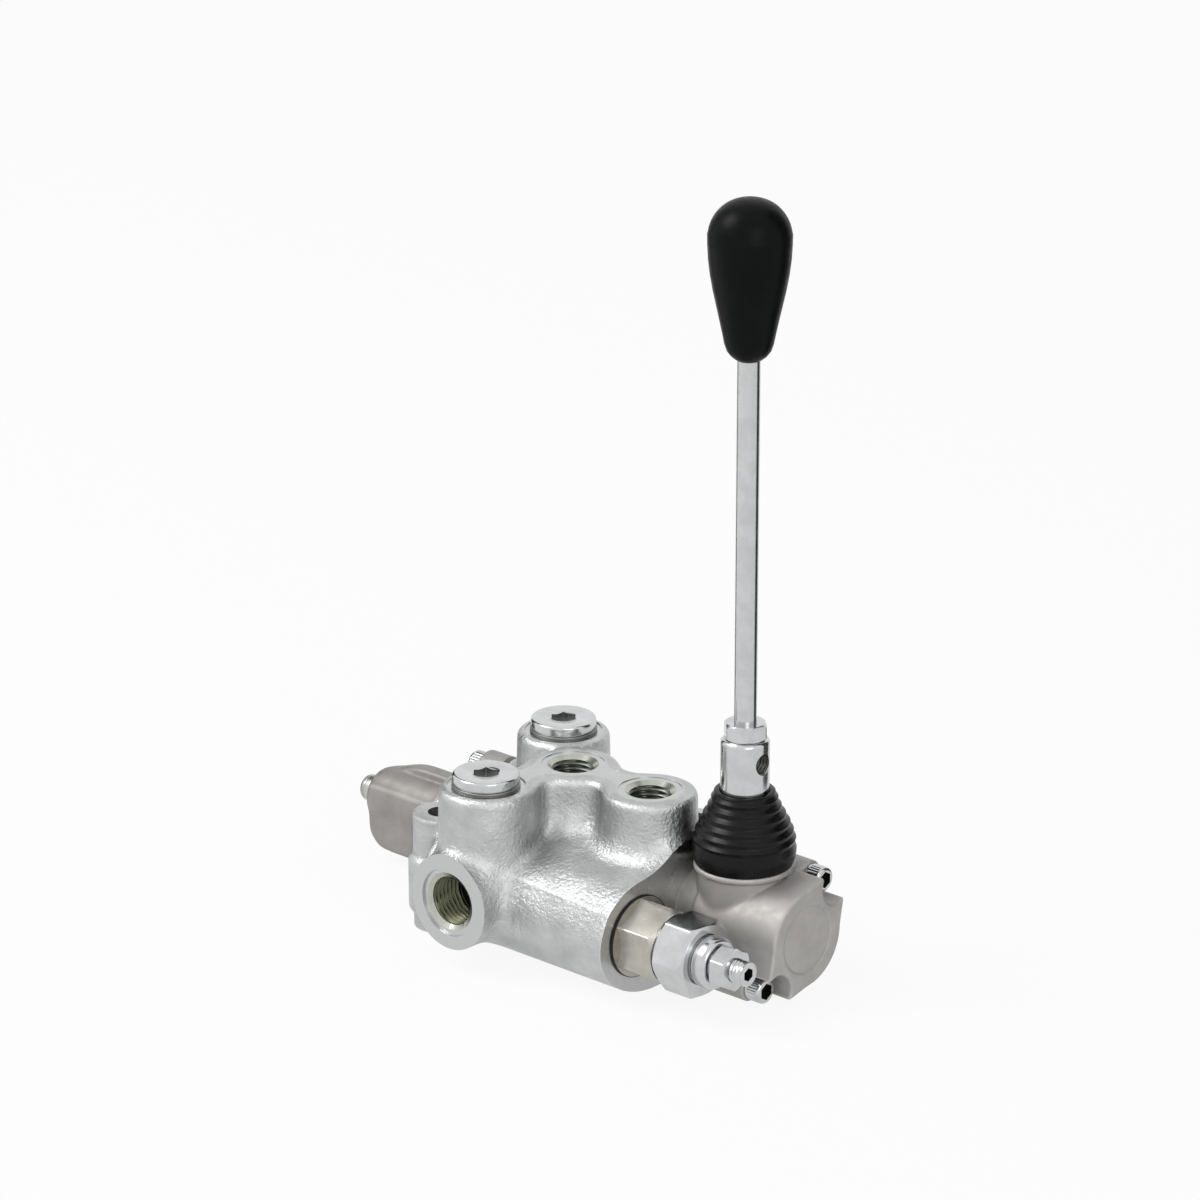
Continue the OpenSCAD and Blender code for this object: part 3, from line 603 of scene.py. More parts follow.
def casting_field(x, y, z):
    """The rough casting, before machining."""
    front_round, under_reach = 19.5, 7
    front_y = INLET_Y + 10
    rear = SPOOL_Y + 21
    under = front_y + under_reach
    over_nose = np.hypot(np.minimum(y - front_y, 0), z - front_round) - front_round
    stretch = front_round / (front_round + under_reach)
    under_nose = np.hypot(np.minimum(y - under, 0) * stretch, z - front_round) - front_round
    nose = np.where(z > front_round, over_nose, under_nose)
    flat = np.maximum(slab(z, 0, SHOULDER), y - rear)
    front = np.where(y < np.where(z > front_round, front_y, under), nose, flat)
    left_end = -BODY_END + 19
    barrel = smooth_max(front, left_end - x, 4)
    past_ends, past_foot, lug_start = 52, -4, 32
    core = round_box(x, y, z, (-past_ends, under, past_foot), (past_ends, rear, SHOULDER), 4)
    block = smooth_min(barrel, core, 3)
    for hx, hy in MOUNT_HOLES:
        r = np.hypot(x - hx, y - hy)
        block = smooth_min(block, np.maximum(r - POST_RADIUS, z - SHOULDER - 1), 3)
        block = smooth_min(block, rounded_end(r - FLANGE_RADIUS, z, 5, FLANGE_TOP + 0.6, 2.6), 1.2)
    for end in (-1, 1):
        for side in (-1, 1):
            cy, cz = screw_axis(side)
            lug = np.maximum(np.hypot(y - cy, z - cz) - LUG_RADIUS, lug_start - end * x)
            block = smooth_min(block, lug, 4)
    peak_x, peak_y, peak_z, slope = 13, -8, SHOULDER + 6.5, 0.43
    left = np.maximum(peak_x - x, 0)
    crest = peak_z - slope * left - 0.06 * np.maximum(x - peak_x, 0)
    apron = (z - crest - slope * np.minimum(y - peak_y + left, 0)) * 0.9
    apron = np.maximum(apron, np.maximum(slab(x, -12, BODY_END + 4), slab(y, front_y - 14, 0)))
    block = smooth_min(block, smooth_max(apron, 20 - z, 2), 4)
    boss_foot, draft = 28, 0.02
    for px, py, fillet in ((*PORT_A, 7), (*PORT_B, 7), (INLET_X, INLET_Y, 4), (TANK_X, TANK_Y, 4)):
        boss = np.maximum(np.hypot(x - px, y - py) - BOSS_RADIUS - draft * (PORT_PLANE - z), boss_foot - z)
        block = smooth_min(block, boss, fillet)
    web_y, web_half, web_foot = 0.7, 7.6, 30
    web = np.maximum(slab(x, 0, PORT_B[0]), np.maximum(np.abs(y - web_y) - web_half, web_foot - z))
    block = smooth_min(block, web, 5)
    side_web_left, side_web_right, pad_length = -12.5, 3.6, 22
    side_web = np.maximum(slab(x, side_web_left, side_web_right), web_foot - z)
    block = smooth_min(block, np.maximum(slab(y, INLET_Y, 0), side_web), 5)
    for px, py, side in ((INLET_X, INLET_Y, -1), (TANK_X, TANK_Y, 1)):
        pad = np.maximum(np.hypot(x - px, z - SIDE_PORT_Z) - PAD_RADIUS, slab(side * (y - py), -2, pad_length))
        block = smooth_min(block, pad, 5)
    block = smooth_max(block, z - PORT_PLANE, 3)
    return block


def port_hole(casting, origin, axis, thread_material, radius, depth, spot_radius, spot_depth, mouth):
    """Spot face, chamfer and threaded bore of one port; mouth is the chamfer's outer radius."""
    origin = np.array(origin, float)
    inward = -np.array(AXES[axis], float)
    back = {"z": "-z", "y": "-y", "-y": "y"}[axis]
    drill(casting, spot_radius, -1, spot_depth, origin, back, "machined")
    crest = radius - THREAD_DEPTH
    cone_end = spot_depth + (mouth - crest) * 0.7
    cone = [(mouth + 0.4, spot_depth - 0.3), (mouth, spot_depth), (crest - 0.1, cone_end)]
    cut(casting, lathe("cone", cone, origin, back), MATERIALS["seat_ring"])
    drill(casting, crest, spot_depth - 0.5, depth, origin, back, thread_material)
    start = origin + inward * (spot_depth + 0.2)
    length = depth - spot_depth - 2
    thread = screw_thread("thread", crest, THREAD_DEPTH, THREAD_PITCH, length, start, back, True)
    cut(casting, thread, MATERIALS[thread_material])


def make_casting():
    """Machined zinc-plated casting."""
    obj = field_mesh("casting", casting_field, (-53, -56, -5), (53, 43, 63), CASTING_GRID)
    obj.data.materials.append(MATERIALS["cast_plated"])
    common(obj, box("planes", BODY_LOW, BODY_HIGH), MATERIALS["machined"])
    # Port threads in dark zinc: painted shade in the bores.
    for px, py in (PORT_A, PORT_B):
        port_hole(obj, (px, py, PORT_PLANE), "z", "thread", radius=7.475, depth=15,
                  spot_radius=10.6, spot_depth=0.25, mouth=8.5)
    # Plug bores in the same dark thread zinc: painted shade.
    for px, py in ((INLET_X, INLET_Y), (TANK_X, TANK_Y)):
        drill(obj, PLUG_SPOT_RADIUS, -1, 0.5, (px, py, PORT_PLANE), "-z", "machined")
        drill(obj, PLUG_BORE, -1, 15, (px, py, PORT_PLANE), "-z", "thread")
    # Olive passivated threads, darkened as painted shade in the bores.
    for px, py, axis in ((INLET_X, BODY_LOW[1], "-y"), (TANK_X, BODY_HIGH[1], "y")):
        port_hole(obj, (px, py, SIDE_PORT_Z), axis, "thread_olive_and_shade", radius=9.0, depth=17,
                  spot_radius=11.6, spot_depth=0.8, mouth=10.0)
    for hx, hy in MOUNT_HOLES:
        drill(obj, MOUNT_RADIUS, -5, SHOULDER + 5, (hx, hy, 0), "z", "machined")
    drill(obj, SPOOL_BORE, -60, 60, (0, SPOOL_Y, SPOOL_Z), "x", "steel")
    drill(obj, RELIEF_BORE, 31, 60, (0, RELIEF_Y, RELIEF_Z), "x", "steel")
    for side in (-1, 1):
        at = (0, *screw_axis(side))
        drill(obj, SCREW_THREAD_HOLE, 35, 60, at, "x", "steel")
        drill(obj, SCREW_THREAD_HOLE, -60, -35, at, "x", "steel")
    dress(obj, "housing", "cast_plated", "valve_body", angle=32)


# Turned and bevelled pieces


def nut(name, flats, x0, x1, origin, axis, bevel, turn=0.0):
    """Hexagon whose corners are rounded off at both ends by a cone."""
    corner = flats / math.sqrt(3)
    blank = hexagon(name, flats, x0, x1, origin, axis, turn, 0.5)
    limit = lathe("limit", [(flats / 2 - 0.2, x0), (corner, x0 + bevel), (corner, x1 - bevel),
                            (flats / 2 - 0.2, x1)], origin, axis)
    return common(blank, limit)


def socket_screw(name, origin, axis, length):
    """M6 socket head screw; its head stands on the origin and the shank runs down from it."""
    r, head, shank, key, key_depth = 4.1, 6.0, 3.0, 5.0, 3.0
    steps, knurls = 96, 32
    knurl = 0.12 * np.cos(np.arange(steps) / steps * 2 * math.pi * knurls)
    rows = [(shank, -length), (shank, 0), (r - 0.3, 0), (r, 0.3), (r, 0.8), (r + knurl, 1.1),
            (r + knurl, head - 1.3), (r, head - 1.0), (r, head - 0.6), (r - 0.25, head - 0.2),
            (r - 0.6, head), (key / 2 + 0.6, head)]
    screw = lathe(name, rows, origin, axis, steps)
    # The key socket takes the near-black hole material: partly bare metal, partly painted shade.
    cut(screw, hexagon("key", key, head - key_depth, head + 1, origin, axis), MATERIALS["hollow"])
    return screw


def make_plugs():
    """Screw plugs with hexagon sockets on their washers."""
    for name, x, y in (("inlet_plug", INLET_X, INLET_Y), ("tank_plug", TANK_X, TANK_Y)):
        low, high = reach_mm(name)
        top = high[2]
        under = reach_mm("plug_washers")[1][2]
        head_radius = (high[0] - low[0]) / 2
        key = 8.0
        edge = [(7.4, low[2]), (7.4, under - 0.01), (head_radius, under - 0.01, 0.4),
                (head_radius, top - 0.6, 0.5), (head_radius - 0.6, top, 0.5), (0.1, top)]
        plug = lathe(name + "_head", soften(edge), (x, y, 0), "z", 128)
        mouth = [(key / 2 * 0.6, top - 1.6), (key / 2 + 0.9, top + 0.02)]
        cut(plug, lathe("mouth", mouth, (x, y, 0), "z"))
        # The key socket's walls are darker zinc: painted shade in the recess.
        cut(plug, hexagon("key", key, top - 2.9, top + 1, (x, y, 0), "z", 12, 0.3), MATERIALS["recess"])
        dress(plug, "housing", "plated", name)
    low, high = reach_mm("plug_washers")
    z0, z1 = low[2] + 0.01, high[2] - 0.02
    outer, inner = 11.3, 8.8
    # Washers in the darker washer material: partly plain steel, partly painted shade under the plug heads.
    for name, x, y in (("inlet_washer", INLET_X, INLET_Y), ("tank_washer", TANK_X, TANK_Y)):
        profile = [(inner, z0, 0.2), (outer, z0, 0.3), (outer, z1, 0.3), (inner, z1, 0.2)]
        dress(tube(name, soften(profile, True), (x, y, 0)), "housing", "washer_steel", "plug_washers")


def make_relief_valve():
    """Hexagons, collar, locknut and adjusting screw of the relief valve."""
    origin = (0, RELIEF_Y, RELIEF_Z)
    low, high = reach_mm("relief_body")
    flats = min(high[2] - low[2], high[1] - low[1])
    start = reach_mm("relief_seal")[1][0]
    hex_end = high[0]
    body = nut("relief_hexagon", flats, start + 0.02, hex_end, origin, "x", 1.5)
    join(body, lathe("shank", [(9.4, low[0] + 7), (9.4, start + 0.1)], origin, "x"))
    rim, seat = flats / math.sqrt(3) + 0.2, BODY_END + 0.8
    disc = [(rim - 0.3, seat + 0.02), (rim - 0.3, start - 0.2, 0.6), (rim - 1.2, start + 0.3)]
    join(body, lathe("seat", soften(disc), origin, "x"))
    drill(body, 6.63, low[0] + 6, hex_end + 1, origin, "x")
    dress(body, "housing", "plated_warm", "relief_body")
    seal = [(9.5, BODY_END + 0.01, 0.2), (rim, BODY_END + 0.01, 0.3), (rim, seat, 0.3), (9.5, seat, 0.2)]
    dress(tube("relief_ring", soften(seal, True), origin, "x"), "housing", "seal_rubber", "relief_seal")
    low, high = reach_mm("relief_cap")
    cap_start, collar_end = hex_end + 0.8, high[0]
    cap_end = collar_end - 5.6
    cap = nut("relief_cap_hexagon", flats, cap_start, cap_end, origin, "x", 1.5, 30)
    neck = flats / 2 - 1.2
    join(cap, lathe("neck", [(neck, hex_end + 0.01), (neck, cap_start + 0.1)], origin, "x"))
    collar = [(8.6, cap_end - 0.5), (8.6, collar_end - 1.2, 0.8), (7.8, collar_end, 0.4), (4.2, collar_end)]
    join(cap, lathe("collar", soften(collar), origin, "x"))
    groove = [(7.8, cap_end + 0.01, 0.3), (9.2, cap_end + 0.01),
              (9.2, cap_end + 0.9), (7.8, cap_end + 0.9, 0.3)]
    cut(cap, tube("groove", soften(groove, True), origin, "x"))
    drill(cap, STUD_HOLE, hex_end - 1, collar_end + 1, origin, "x")
    dress(cap, "housing", "plated", "relief_cap")
    low, high = reach_mm("relief_locknut")
    locknut = nut("relief_lock", M8_NUT, low[0] + 0.6, high[0], origin, "x", 0.6)
    join(locknut, lathe("foot", [(5.8, low[0] + 0.01), (5.8, low[0] + 0.7)], origin, "x"))
    drill(locknut, STUD_HOLE, low[0] - 1, high[0] + 1, origin, "x")
    dress(locknut, "housing", "plated", "relief_locknut")
    low, high = reach_mm("relief_screw")
    foot = (low[0], RELIEF_Y, RELIEF_Z)
    stud = screw_thread("relief_stud", STUD_RADIUS, 0.55, M8_PITCH, high[0] - low[0], foot, "x", False)
    # The key socket takes the near-black hole material: partly bare metal, partly painted shade.
    cut(stud, hexagon("key", 4, high[0] - 4, high[0] + 1, origin, "x", 0, 0.2), MATERIALS["hollow"])
    dress(stud, "relief_adjusting_screw", "plated", "relief_screw")


def make_screws():
    """Fixing screws of the lever box and the rear cap."""
    places = (("lever_box_screws", LUG_END, SCREW_TIP, "x"), ("rear_cap_screws", CAP_FOOT, -SCREW_TIP, "-x"))
    for node, seat, tip, axis in places:
        for side in (-1, 1):
            origin = (seat, *screw_axis(side))
            name = node[:-1] + ("_upper" if side > 0 else "_lower")
            screw = socket_screw(name, origin, axis, abs(seat - tip))
            dress(screw, "housing", "plated", node)


# Lever box


def uneven_bar(y, z, a, r1, b, r2):
    """Distance in the YZ plane to the hull of two circles."""
    dy, dz = b[0] - a[0], b[1] - a[1]
    h = math.hypot(dy, dz)
    along = ((y - a[0]) * dy + (z - a[1]) * dz) / h
    across = np.abs((y - a[0]) * dz - (z - a[1]) * dy) / h
    lean = (r1 - r2) / h
    flat = math.sqrt(1 - lean * lean)
    k = along * flat - across * lean
    side = across * flat + along * lean - r1
    return np.where(k < 0, np.hypot(across, along) - r1,
                    np.where(k > flat * h, np.hypot(across, along - h) - r2, side))


def rounded_end(outline, along, low, high, r):
    """Outline drawn out between two planes, with rounded rims."""
    a, b = outline + r, np.abs(along - (low + high) / 2) - (high - low) / 2 + r
    return np.hypot(np.maximum(a, 0), np.maximum(b, 0)) + np.minimum(np.maximum(a, b), 0) - r


def lever_box_field(x, y, z):
    """Lever box before its holes are cut."""
    axis = (SPOOL_Y, SPOOL_Z)
    corner_radius, neck_step, notch_radius, disc_rim = 5.0, 0.8, 6.7, 5.2
    from_spool = np.hypot(y - axis[0], z - axis[1])
    outline = from_spool - BARREL_RADIUS
    for side in (-1, 1):
        arm = uneven_bar(y, z, axis, BARREL_RADIUS - 0.3, screw_axis(side), corner_radius)
        outline = np.minimum(outline, arm)
    step = np.clip((x - FLANGE_END) / neck_step, 0, 1)
    body = rounded_end(outline + neck_step * (1 - step), x, BODY_END - 6, BOX_END, 0.9)
    for side in (-1, 1):
        cy, cz = screw_axis(side)
        notch = np.maximum(np.hypot(y - cy, z - cz) - notch_radius, LUG_END - x)
        body = smooth_max(body, -notch, 0.9)
    from_lever = np.hypot(x - LEVER_X, y - LEVER_Y) - TURRET_RADIUS
    body = smooth_min(body, np.maximum(from_lever, slab(z, SPOOL_Z, TURRET_TOP)), 0.7)
    body = smooth_min(body, rounded_end(from_lever - 1.5, z, TURRET_TOP - 2, TURRET_TOP, 0.6), 0.6)
    disc = np.maximum(from_spool - BARREL_RADIUS + disc_rim, BOX_END - 0.5 - x)
    return smooth_max(body, -disc, 0.5)


def make_lever_box():
    """Die-cast lever housing."""
    reach = 26
    low = (BODY_END - 3, SPOOL_Y - reach, SPOOL_Z - reach)
    high = (BOX_END + 2, SPOOL_Y + reach, TURRET_TOP + 2)
    obj = field_mesh("lever_housing", lever_box_field, low, high, COVER_GRID)
    obj.data.materials.append(MATERIALS["die_cast"])
    cut(obj, box("foot", (BODY_END - 9, low[1] - 5, low[2] - 5), (BODY_END, high[1] + 5, high[2] + 5)))
    spool_axis = (0, SPOOL_Y, SPOOL_Z)
    lever_axis, above, bore_end, cup_seat = (LEVER_X, LEVER_Y, 0), TURRET_TOP + 5, 82.8, 31.5
    drill(obj, 8.6, BODY_END - 1, bore_end, spool_axis, "x")
    drill(obj, 10.4, cup_seat, above, lever_axis, "z")
    drill(obj, 9.3, SPOOL_Z, above, lever_axis, "z")
    for side in (-1, 1):
        drill(obj, SCREW_HOLE, BODY_END - 1, BOX_END, (0, *screw_axis(side)), "x")
    dress(obj, "housing", "die_cast", "lever_box", angle=40)


# Rear cap


def rear_cap_field(x, y, z):
    """Rear cap before its holes are cut."""
    dy, dz = y - SPOOL_Y, z - SPOOL_Z
    r = np.hypot(dy, dz)
    t = np.clip((CAP_CAVITY_END + 5 - x) / 8, 0, 1)
    ridge = rounded_end(r - RIDGE_RADIUS + 1.5 * t * t, x, CAP_FACE, -BODY_END + 6, 0.8)
    collar = rounded_end(r - RIDGE_RADIUS - 3, x, -BODY_END - 13.8, -BODY_END + 6, 1.2)
    body = smooth_min(ridge, collar, 2)
    for side in (-1, 1):
        cy, cz = screw_axis(side)
        lug = rounded_end(np.hypot(y - cy, z - cz) - LUG_RADIUS, x, CAP_FOOT, -BODY_END + 4, 0.6)
        body = smooth_min(body, lug, 1.6)
    offset = math.hypot(*SCREW_OFFSET)
    along = (dy * SCREW_OFFSET[0] + dz * SCREW_OFFSET[1]) / offset
    across = (dy * SCREW_OFFSET[1] - dz * SCREW_OFFSET[0]) / offset
    rib_half, wing_width, wing_foot, corner_radius = 5.2, 7, -BODY_END - 6, 10
    rib = np.maximum(np.abs(across) - rib_half, np.abs(along) - offset)
    rib = np.maximum(rib, slab(x, CAP_FOOT + 1, -BODY_END + 4))
    body = smooth_min(body, rib, 1.6)
    front = SPOOL_Y - RIDGE_RADIUS + 0.5
    lower = round_box(x, y, z, (LOWER_WING, front, SPOOL_Z - 16.7),
                      (wing_foot, front + wing_width, SPOOL_Z + 6.2), 1.7)
    turn = (LOWER_WING + corner_radius, SPOOL_Z - 6.7)
    corner = np.hypot(x - turn[0], z - turn[1]) - corner_radius
    lower = np.where((x < turn[0]) & (z < turn[1]), smooth_max(lower, corner, 1), lower)
    body = smooth_min(body, lower, 1.5)
    upper = round_box(x, y, z, (CAP_FACE + 0.3, SPOOL_Y, SPOOL_Z - 2),
                      (wing_foot, SPOOL_Y + 6, SPOOL_Z + 13), 1)
    slope = (z - SPOOL_Z - 13) * 0.95 - (x - CAP_FACE - 14.6) * 0.32
    body = smooth_min(body, smooth_max(upper, slope, 2), 1.2)
    return np.maximum(body, CAP_FACE - x)


def make_rear_cap():
    """Die-cast cap over the centring spring."""
    reach = 24
    low = (CAP_END - 2, SPOOL_Y - reach, SPOOL_Z - reach)
    high = (-BODY_END + 3, SPOOL_Y + reach, SPOOL_Z + reach)
    obj = field_mesh("spring_cap", rear_cap_field, low, high, COVER_GRID)
    # The cap takes the darker copy of the die-cast material: painted shade.
    obj.data.materials.append(MATERIALS["cap_cast_shaded"])
    cut(obj, box("foot", (-BODY_END, low[1] - 5, low[2] - 5), (-BODY_END + 9, high[1] + 5, high[2] + 5)))
    spool_axis = (0, SPOOL_Y, SPOOL_Z)
    drill(obj, 8.3, CAP_CAVITY_END, -BODY_END + 1, spool_axis, "x")
    drill(obj, 9.5, -BODY_END - 13, -BODY_END + 1, spool_axis, "x")
    drill(obj, 3.05, CAP_FACE - 2, CAP_FACE + 4, spool_axis, "x")
    for side in (-1, 1):
        drill(obj, SCREW_HOLE, -BODY_END - 12, -BODY_END + 1, (0, *screw_axis(side)), "x")
    dress(obj, "housing", "die_cast", "rear_cap", angle=40)
    tip, shank, head = CAP_FACE - 7.4, 3.0, 4.8
    profile = [(shank, CAP_FACE + 2.0), (shank, CAP_FACE - 0.01), (head, CAP_FACE - 0.01, 0.3),
               (head, tip + 2.2, 0.3), (4.2, tip + 1.9, 0.2), (4.2, tip + 1.3, 0.2),
               (4.6, tip + 1.1, 0.2), (4.2, tip, 0.5), (0.1, tip)]
    flipped = [(p[0], -p[1], *p[2:]) for p in profile]
    cap_plug = lathe("cap_plug", soften(flipped), spool_axis, "-x")
    dress(cap_plug, "housing", "plated", "rear_cap_plug", material="plated_dull")


# Lever


def boot_outline():
    """Outer and inner wall of the bellows."""
    heights = [41.04, 42.4, 44.4, 46.4, 48.2, 51.8, 55.3, 58.8, 62.3, 65.9]
    radii = [15.9, 16.4, 16.9, 17.0, 16.9, 16.1, 14.7, 12.9, 11.1, 10.1]
    first, last, ribs = 48.4, 65.2, 6
    z = np.linspace(first, last, 97)
    wave = (z - first) / (last - first) * ribs * 2 * math.pi
    rings = np.interp(z, heights, radii) + 0.75 * (1 - np.abs(np.cos(wave / 2))) ** 0.7 - 0.5
    outer = [(r, h) for r, h in zip(radii, heights) if h < 48.2]
    outer += list(zip(rings, z)) + [(10.0, 65.7), (9.7, 66.0)]
    inner = [(8.3, 66.0), (8.3, 63.5)]
    inner += [(max(8.3, float(np.interp(h, heights, radii)) - 1.9), h) for h in np.arange(62, 44.6, -1.5)]
    foot = [(14.5, TURRET_TOP + 1.6), (14.0, TURRET_TOP + 0.02), (15.6, TURRET_TOP + 0.02)]
    return outer + inner + foot


def make_boot():
    """Rubber bellows around the foot of the lever."""
    boot = tube("bellows", boot_outline(), (LEVER_X, LEVER_Y, 0), "z", 128)
    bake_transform(boot)
    dress(boot, "housing", "boot_rubber", "lever_boot", angle=60)


def make_lever():
    """Socket with its threaded cross hole, nut, rod and knob."""
    origin = (LEVER_X, LEVER_Y, 0)
    low, high = reach_mm("lever_socket")
    r = (high[1] - low[1]) / 2
    profile = [(r - 0.6, low[2]), (r, low[2] + 0.5, 0.5), (r, high[2] - 0.9, 0.6), (r - 0.8, high[2], 0.5),
               (3.0, high[2])]
    socket = lathe("lever_bush", soften(profile), origin, "z", 128)
    cross_height, rod_bore, rod_depth, crest = 13.5, 3.55, 8.2, 3.1
    cross = (LEVER_X, LEVER_Y, low[2] + cross_height)
    # Mouth in darker zinc, bore and thread near-black: painted shade in the cross hole, partly bare metal.
    cut(socket, lathe("mouth", [(3.0, r - 0.9), (3.9, r + 0.3)], cross, "x"), MATERIALS["recess"])
    drill(socket, crest, 0.5, r + 1, cross, "x", "hollow")
    start = (LEVER_X + 0.8, LEVER_Y, cross[2])
    cut(socket, screw_thread("thread", crest, 0.6, M8_PITCH, r - 1.0, start, "x", True), MATERIALS["hollow"])
    drill(socket, rod_bore, low[2] - 1, low[2] + rod_depth, origin, "z")
    dress(socket, "lever", "plated", "lever_socket")
    low, high = reach_mm("lever_nut")
    top_nut = nut("lever_lock", M8_NUT, low[2] + 0.01, high[2], origin, "z", 0.9, 18)
    drill(top_nut, ROD_HOLE, low[2] - 1, high[2] + 1, origin, "z")
    dress(top_nut, "lever", "plated", "lever_nut")
    low, high = reach_mm("lever_rod")
    thread, bar, thread_end = 3.5, 3.7, 83.9
    profile = [(thread, low[2]), (thread, thread_end), (bar, thread_end), (bar, high[2])]
    dress(lathe("lever_bar", profile, origin, "z", 96), "lever", "plated", "lever_rod")
    low, high = reach_mm("lever_knob")
    z0, z1, big = low[2], high[2], (high[0] - low[0]) / 2
    heights = np.array([0, 0.5, 1.6, 3.2, 5.6, 8.5, 13, 18, 23, 28, 33, 37.5, 41]) + z0
    radii = [3.75, 4.6, 5.9, 7.1, 7.9, 8.45, 9.4, 10.5, 11.6, 12.5, 13.1, 13.35, 13.4]
    dome, dome_height = [], 13.0
    for angle in range(8, 90, 4):
        a = math.radians(angle)
        dome.append((big * math.cos(a) ** 0.9, z1 - dome_height + dome_height * math.sin(a)))
    knob = lathe("lever_handle", list(zip(radii, heights)) + dome, origin, "z", 128)
    drill(knob, ROD_HOLE, z0 - 1, z0 + 20, origin, "z")
    dress(knob, "lever", "knob_plastic", "lever_knob", angle=60)


# Camera, lights and floor

VIEW_AZIMUTH = 42.144
VIEW_ELEVATION = 19.958
VIEW_DISTANCE = 1797.18
VIEW_TARGET = (11.887, 0.0, 119.943)
PIXELS_PER_MM = 3.08415
PHOTO_WIDTH = 1200
SENSOR = 36.0


def make_camera():
    """Camera at the photograph's place, with its focal length from the scale at the target."""
    a, e = math.radians(VIEW_AZIMUTH), math.radians(VIEW_ELEVATION)
    forward = Vector((-math.sin(a) * math.cos(e), math.cos(a) * math.cos(e), -math.sin(e)))
    right = Vector((math.cos(a), math.sin(a), 0))
    up = right.cross(forward)
    place = (Vector(VIEW_TARGET) - forward * VIEW_DISTANCE) * MM
    data = bpy.data.cameras.new("camera")
    data.sensor_width = SENSOR
    data.lens = PIXELS_PER_MM * VIEW_DISTANCE / PHOTO_WIDTH * SENSOR
    data.clip_start, data.clip_end = 0.05, 60
    camera = bpy.data.objects.new("camera", data)
    turn = Matrix((right, up, -forward)).transposed().to_4x4()
    camera.matrix_world = Matrix.Translation(place) @ turn
    bpy.context.scene.collection.objects.link(camera)
    bpy.context.scene.camera = camera


def make_lamp(name, place, size, power, colour=(1, 1, 1)):
    """Soft rectangular lamp that looks at the middle of the valve."""
    data = bpy.data.lights.new(name, "AREA")
    data.shape = "RECTANGLE"
    data.size, data.size_y = size
    data.energy = power
    data.color = colour
    lamp = bpy.data.objects.new(name, data)
    lamp.location = place
    lamp.rotation_euler = (Vector((0.0, 0.0, 0.05)) - Vector(place)).to_track_quat("-Z", "Y").to_euler()
    bpy.context.scene.collection.objects.link(lamp)


def background_rays(tree, seen=1.0, mirrored=1.0):
    """How far camera rays, and glossy and transmission rays, see the white background."""
    path = tree.nodes.new("ShaderNodeLightPath")
    total = None
    shares = (("Is Camera Ray", seen), ("Is Glossy Ray", mirrored), ("Is Transmission Ray", mirrored))
    for name, share in shares:
        add = tree.nodes.new("ShaderNodeMath")
        add.operation = "MULTIPLY_ADD"
        add.use_clamp = True
        tree.links.new(path.outputs[name], add.inputs[0])
        add.inputs[1].default_value = share
        add.inputs[2].default_value = 0.0
        if total is not None:
            tree.links.new(total, add.inputs[2])
        total = add.outputs[0]
    return total


def make_world():
    """White where the camera or a mirror sees it, softer as a source of light."""
    world = bpy.data.worlds.new("studio")
    world.use_nodes = True
    bpy.context.scene.world = world
    tree = world.node_tree
    tree.nodes.clear()
    out = tree.nodes.new("ShaderNodeOutputWorld")
    seen = tree.nodes.new("ShaderNodeBackground")
    seen.inputs["Color"].default_value = (1, 1, 1, 1)
    light = tree.nodes.new("ShaderNodeBackground")
    mix = tree.nodes.new("ShaderNodeMixShader")
    coords = tree.nodes.new("ShaderNodeTexCoord")
    split = tree.nodes.new("ShaderNodeSeparateXYZ")
    tree.links.new(coords.outputs["Generated"], split.inputs[0])
    ramp = tree.nodes.new("ShaderNodeValToRGB")
    ramp.color_ramp.elements[0].position = 0.0
    ramp.color_ramp.elements[0].color = (0.42, 0.43, 0.44, 1)
    ramp.color_ramp.elements[1].position = 0.65
    ramp.color_ramp.elements[1].color = (1, 1, 1, 1)
    tree.links.new(split.outputs["Z"], ramp.inputs["Fac"])
    tree.links.new(ramp.outputs["Color"], light.inputs["Color"])
    light.inputs["Strength"].default_value = 0.55
    tree.links.new(background_rays(tree), mix.inputs["Fac"])
    tree.links.new(light.outputs[0], mix.inputs[1])
    tree.links.new(seen.outputs[0], mix.inputs[2])
    tree.links.new(mix.outputs[0], out.inputs["Surface"])


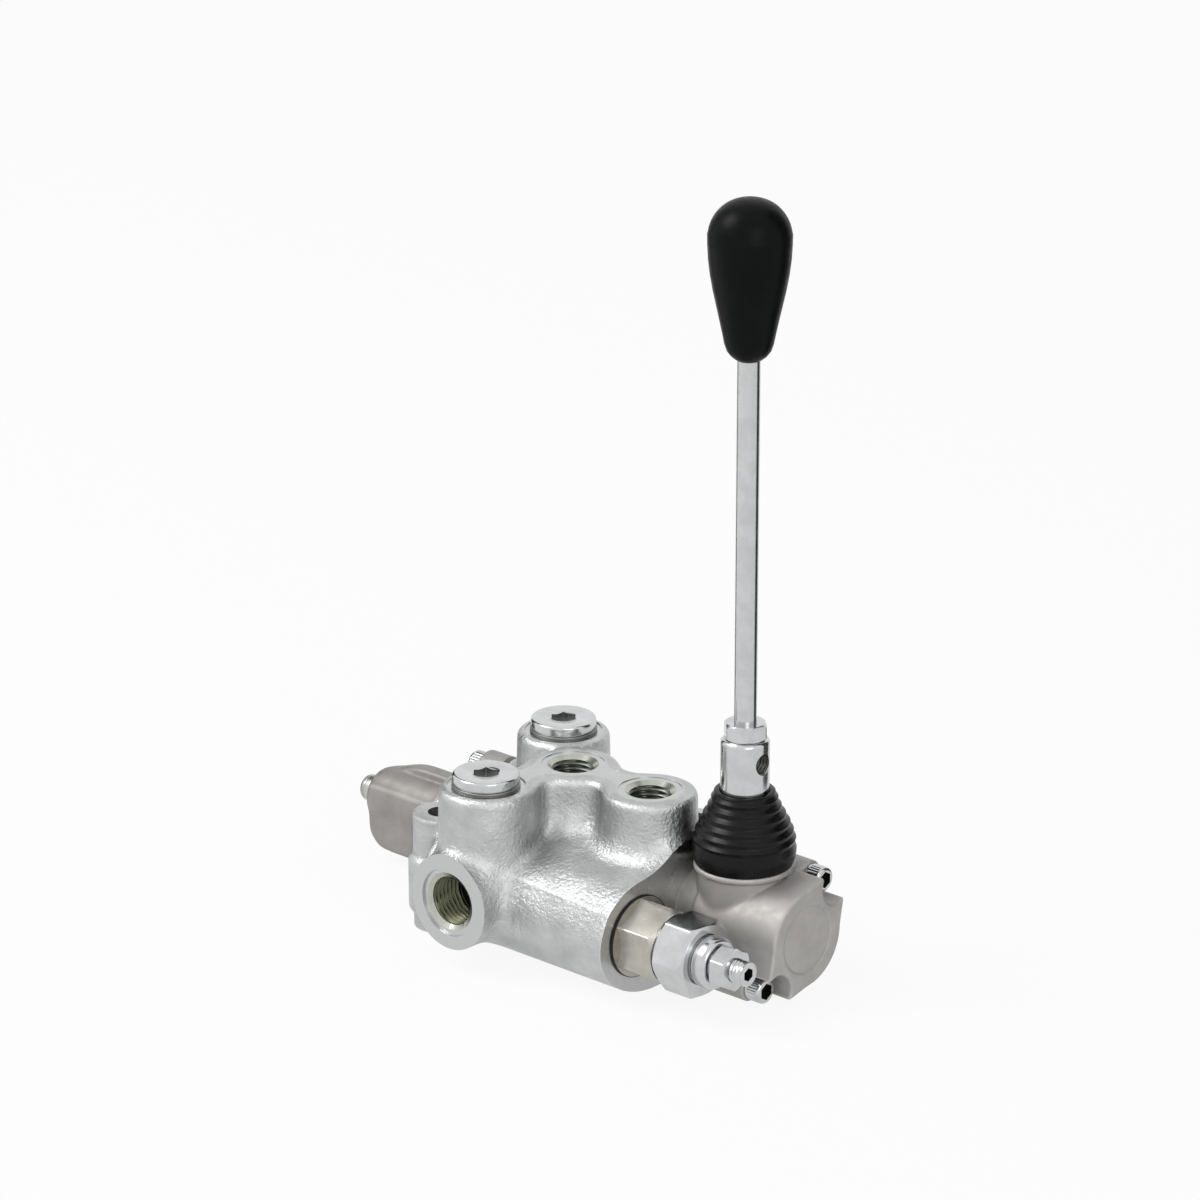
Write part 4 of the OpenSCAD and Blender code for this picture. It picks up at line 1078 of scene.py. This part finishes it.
def make_floor():
    """Pale floor that keeps a soft shadow and fades to white for the camera."""
    size = 6.0
    verts = [(-size, -size), (size, -size), (size, size), (-size, size)]
    mesh = bpy.data.meshes.new("floor")
    mesh.from_pydata([(x, y, -0.0002) for x, y in verts], [], [(0, 1, 2, 3)])
    floor = bpy.data.objects.new("floor", mesh)
    bpy.context.scene.collection.objects.link(floor)
    mat = bpy.data.materials.new("floor")
    mat.use_nodes = True
    tree = mat.node_tree
    tree.nodes.clear()
    out = tree.nodes.new("ShaderNodeOutputMaterial")
    diffuse = tree.nodes.new("ShaderNodeBsdfDiffuse")
    diffuse.inputs["Color"].default_value = (0.93, 0.93, 0.93, 1)
    glow = tree.nodes.new("ShaderNodeEmission")
    glow.inputs["Color"].default_value = (1, 1, 1, 1)
    mix = tree.nodes.new("ShaderNodeMixShader")
    tree.links.new(background_rays(tree, 0.9, 0.6), mix.inputs["Fac"])
    tree.links.new(diffuse.outputs[0], mix.inputs[1])
    tree.links.new(glow.outputs[0], mix.inputs[2])
    tree.links.new(mix.outputs[0], out.inputs["Surface"])
    mesh.materials.append(mat)


def make_flag(name, bearing, distance, width, height):
    """Dark card beside the lever that only reflections see: it paints dark reflections into the metal and is
    seen nowhere else.
    """
    turn = math.radians(bearing)
    middle = Vector((LEVER_X * MM + distance * math.cos(turn), LEVER_Y * MM + distance * math.sin(turn), 0))
    side = Vector((-math.sin(turn), math.cos(turn), 0)) * width / 2
    up = Vector((0, 0, height))
    mesh = bpy.data.meshes.new(name)
    corners = [middle - side, middle + side, middle + side + up, middle - side + up]
    mesh.from_pydata(corners, [], [(0, 1, 2, 3)])
    card = bpy.data.objects.new(name, mesh)
    bpy.context.scene.collection.objects.link(card)
    dark_reflection = Shader(name, (0.04, 0.04, 0.04), 0.0, 0.9)
    dark_reflection.roughness(dark_reflection.remap(dark_reflection.noise(4), 0.85, 0.95))
    mesh.materials.append(dark_reflection.material)
    card.visible_camera = card.visible_diffuse = card.visible_shadow = card.visible_transmission = False


make_camera()
make_world()
make_floor()
# Two dark cards that paint dark reflections into the metal.
make_flag("flag_right", 62, 0.16, 0.12, 0.5)
make_flag("flag_left", 178, 0.22, 0.06, 0.5)
make_lamp("key", (-0.9, -0.9, 1.5), (0.9, 0.9), 16)
make_lamp("fill", (1.5, -0.8, 0.9), (1.0, 1.0), 5)
bpy.context.scene.view_settings.view_transform = "Standard"
dress_nodes()
make_casting()
make_plugs()
make_relief_valve()
make_screws()
make_lever_box()
make_rear_cap()
make_boot()
make_lever()
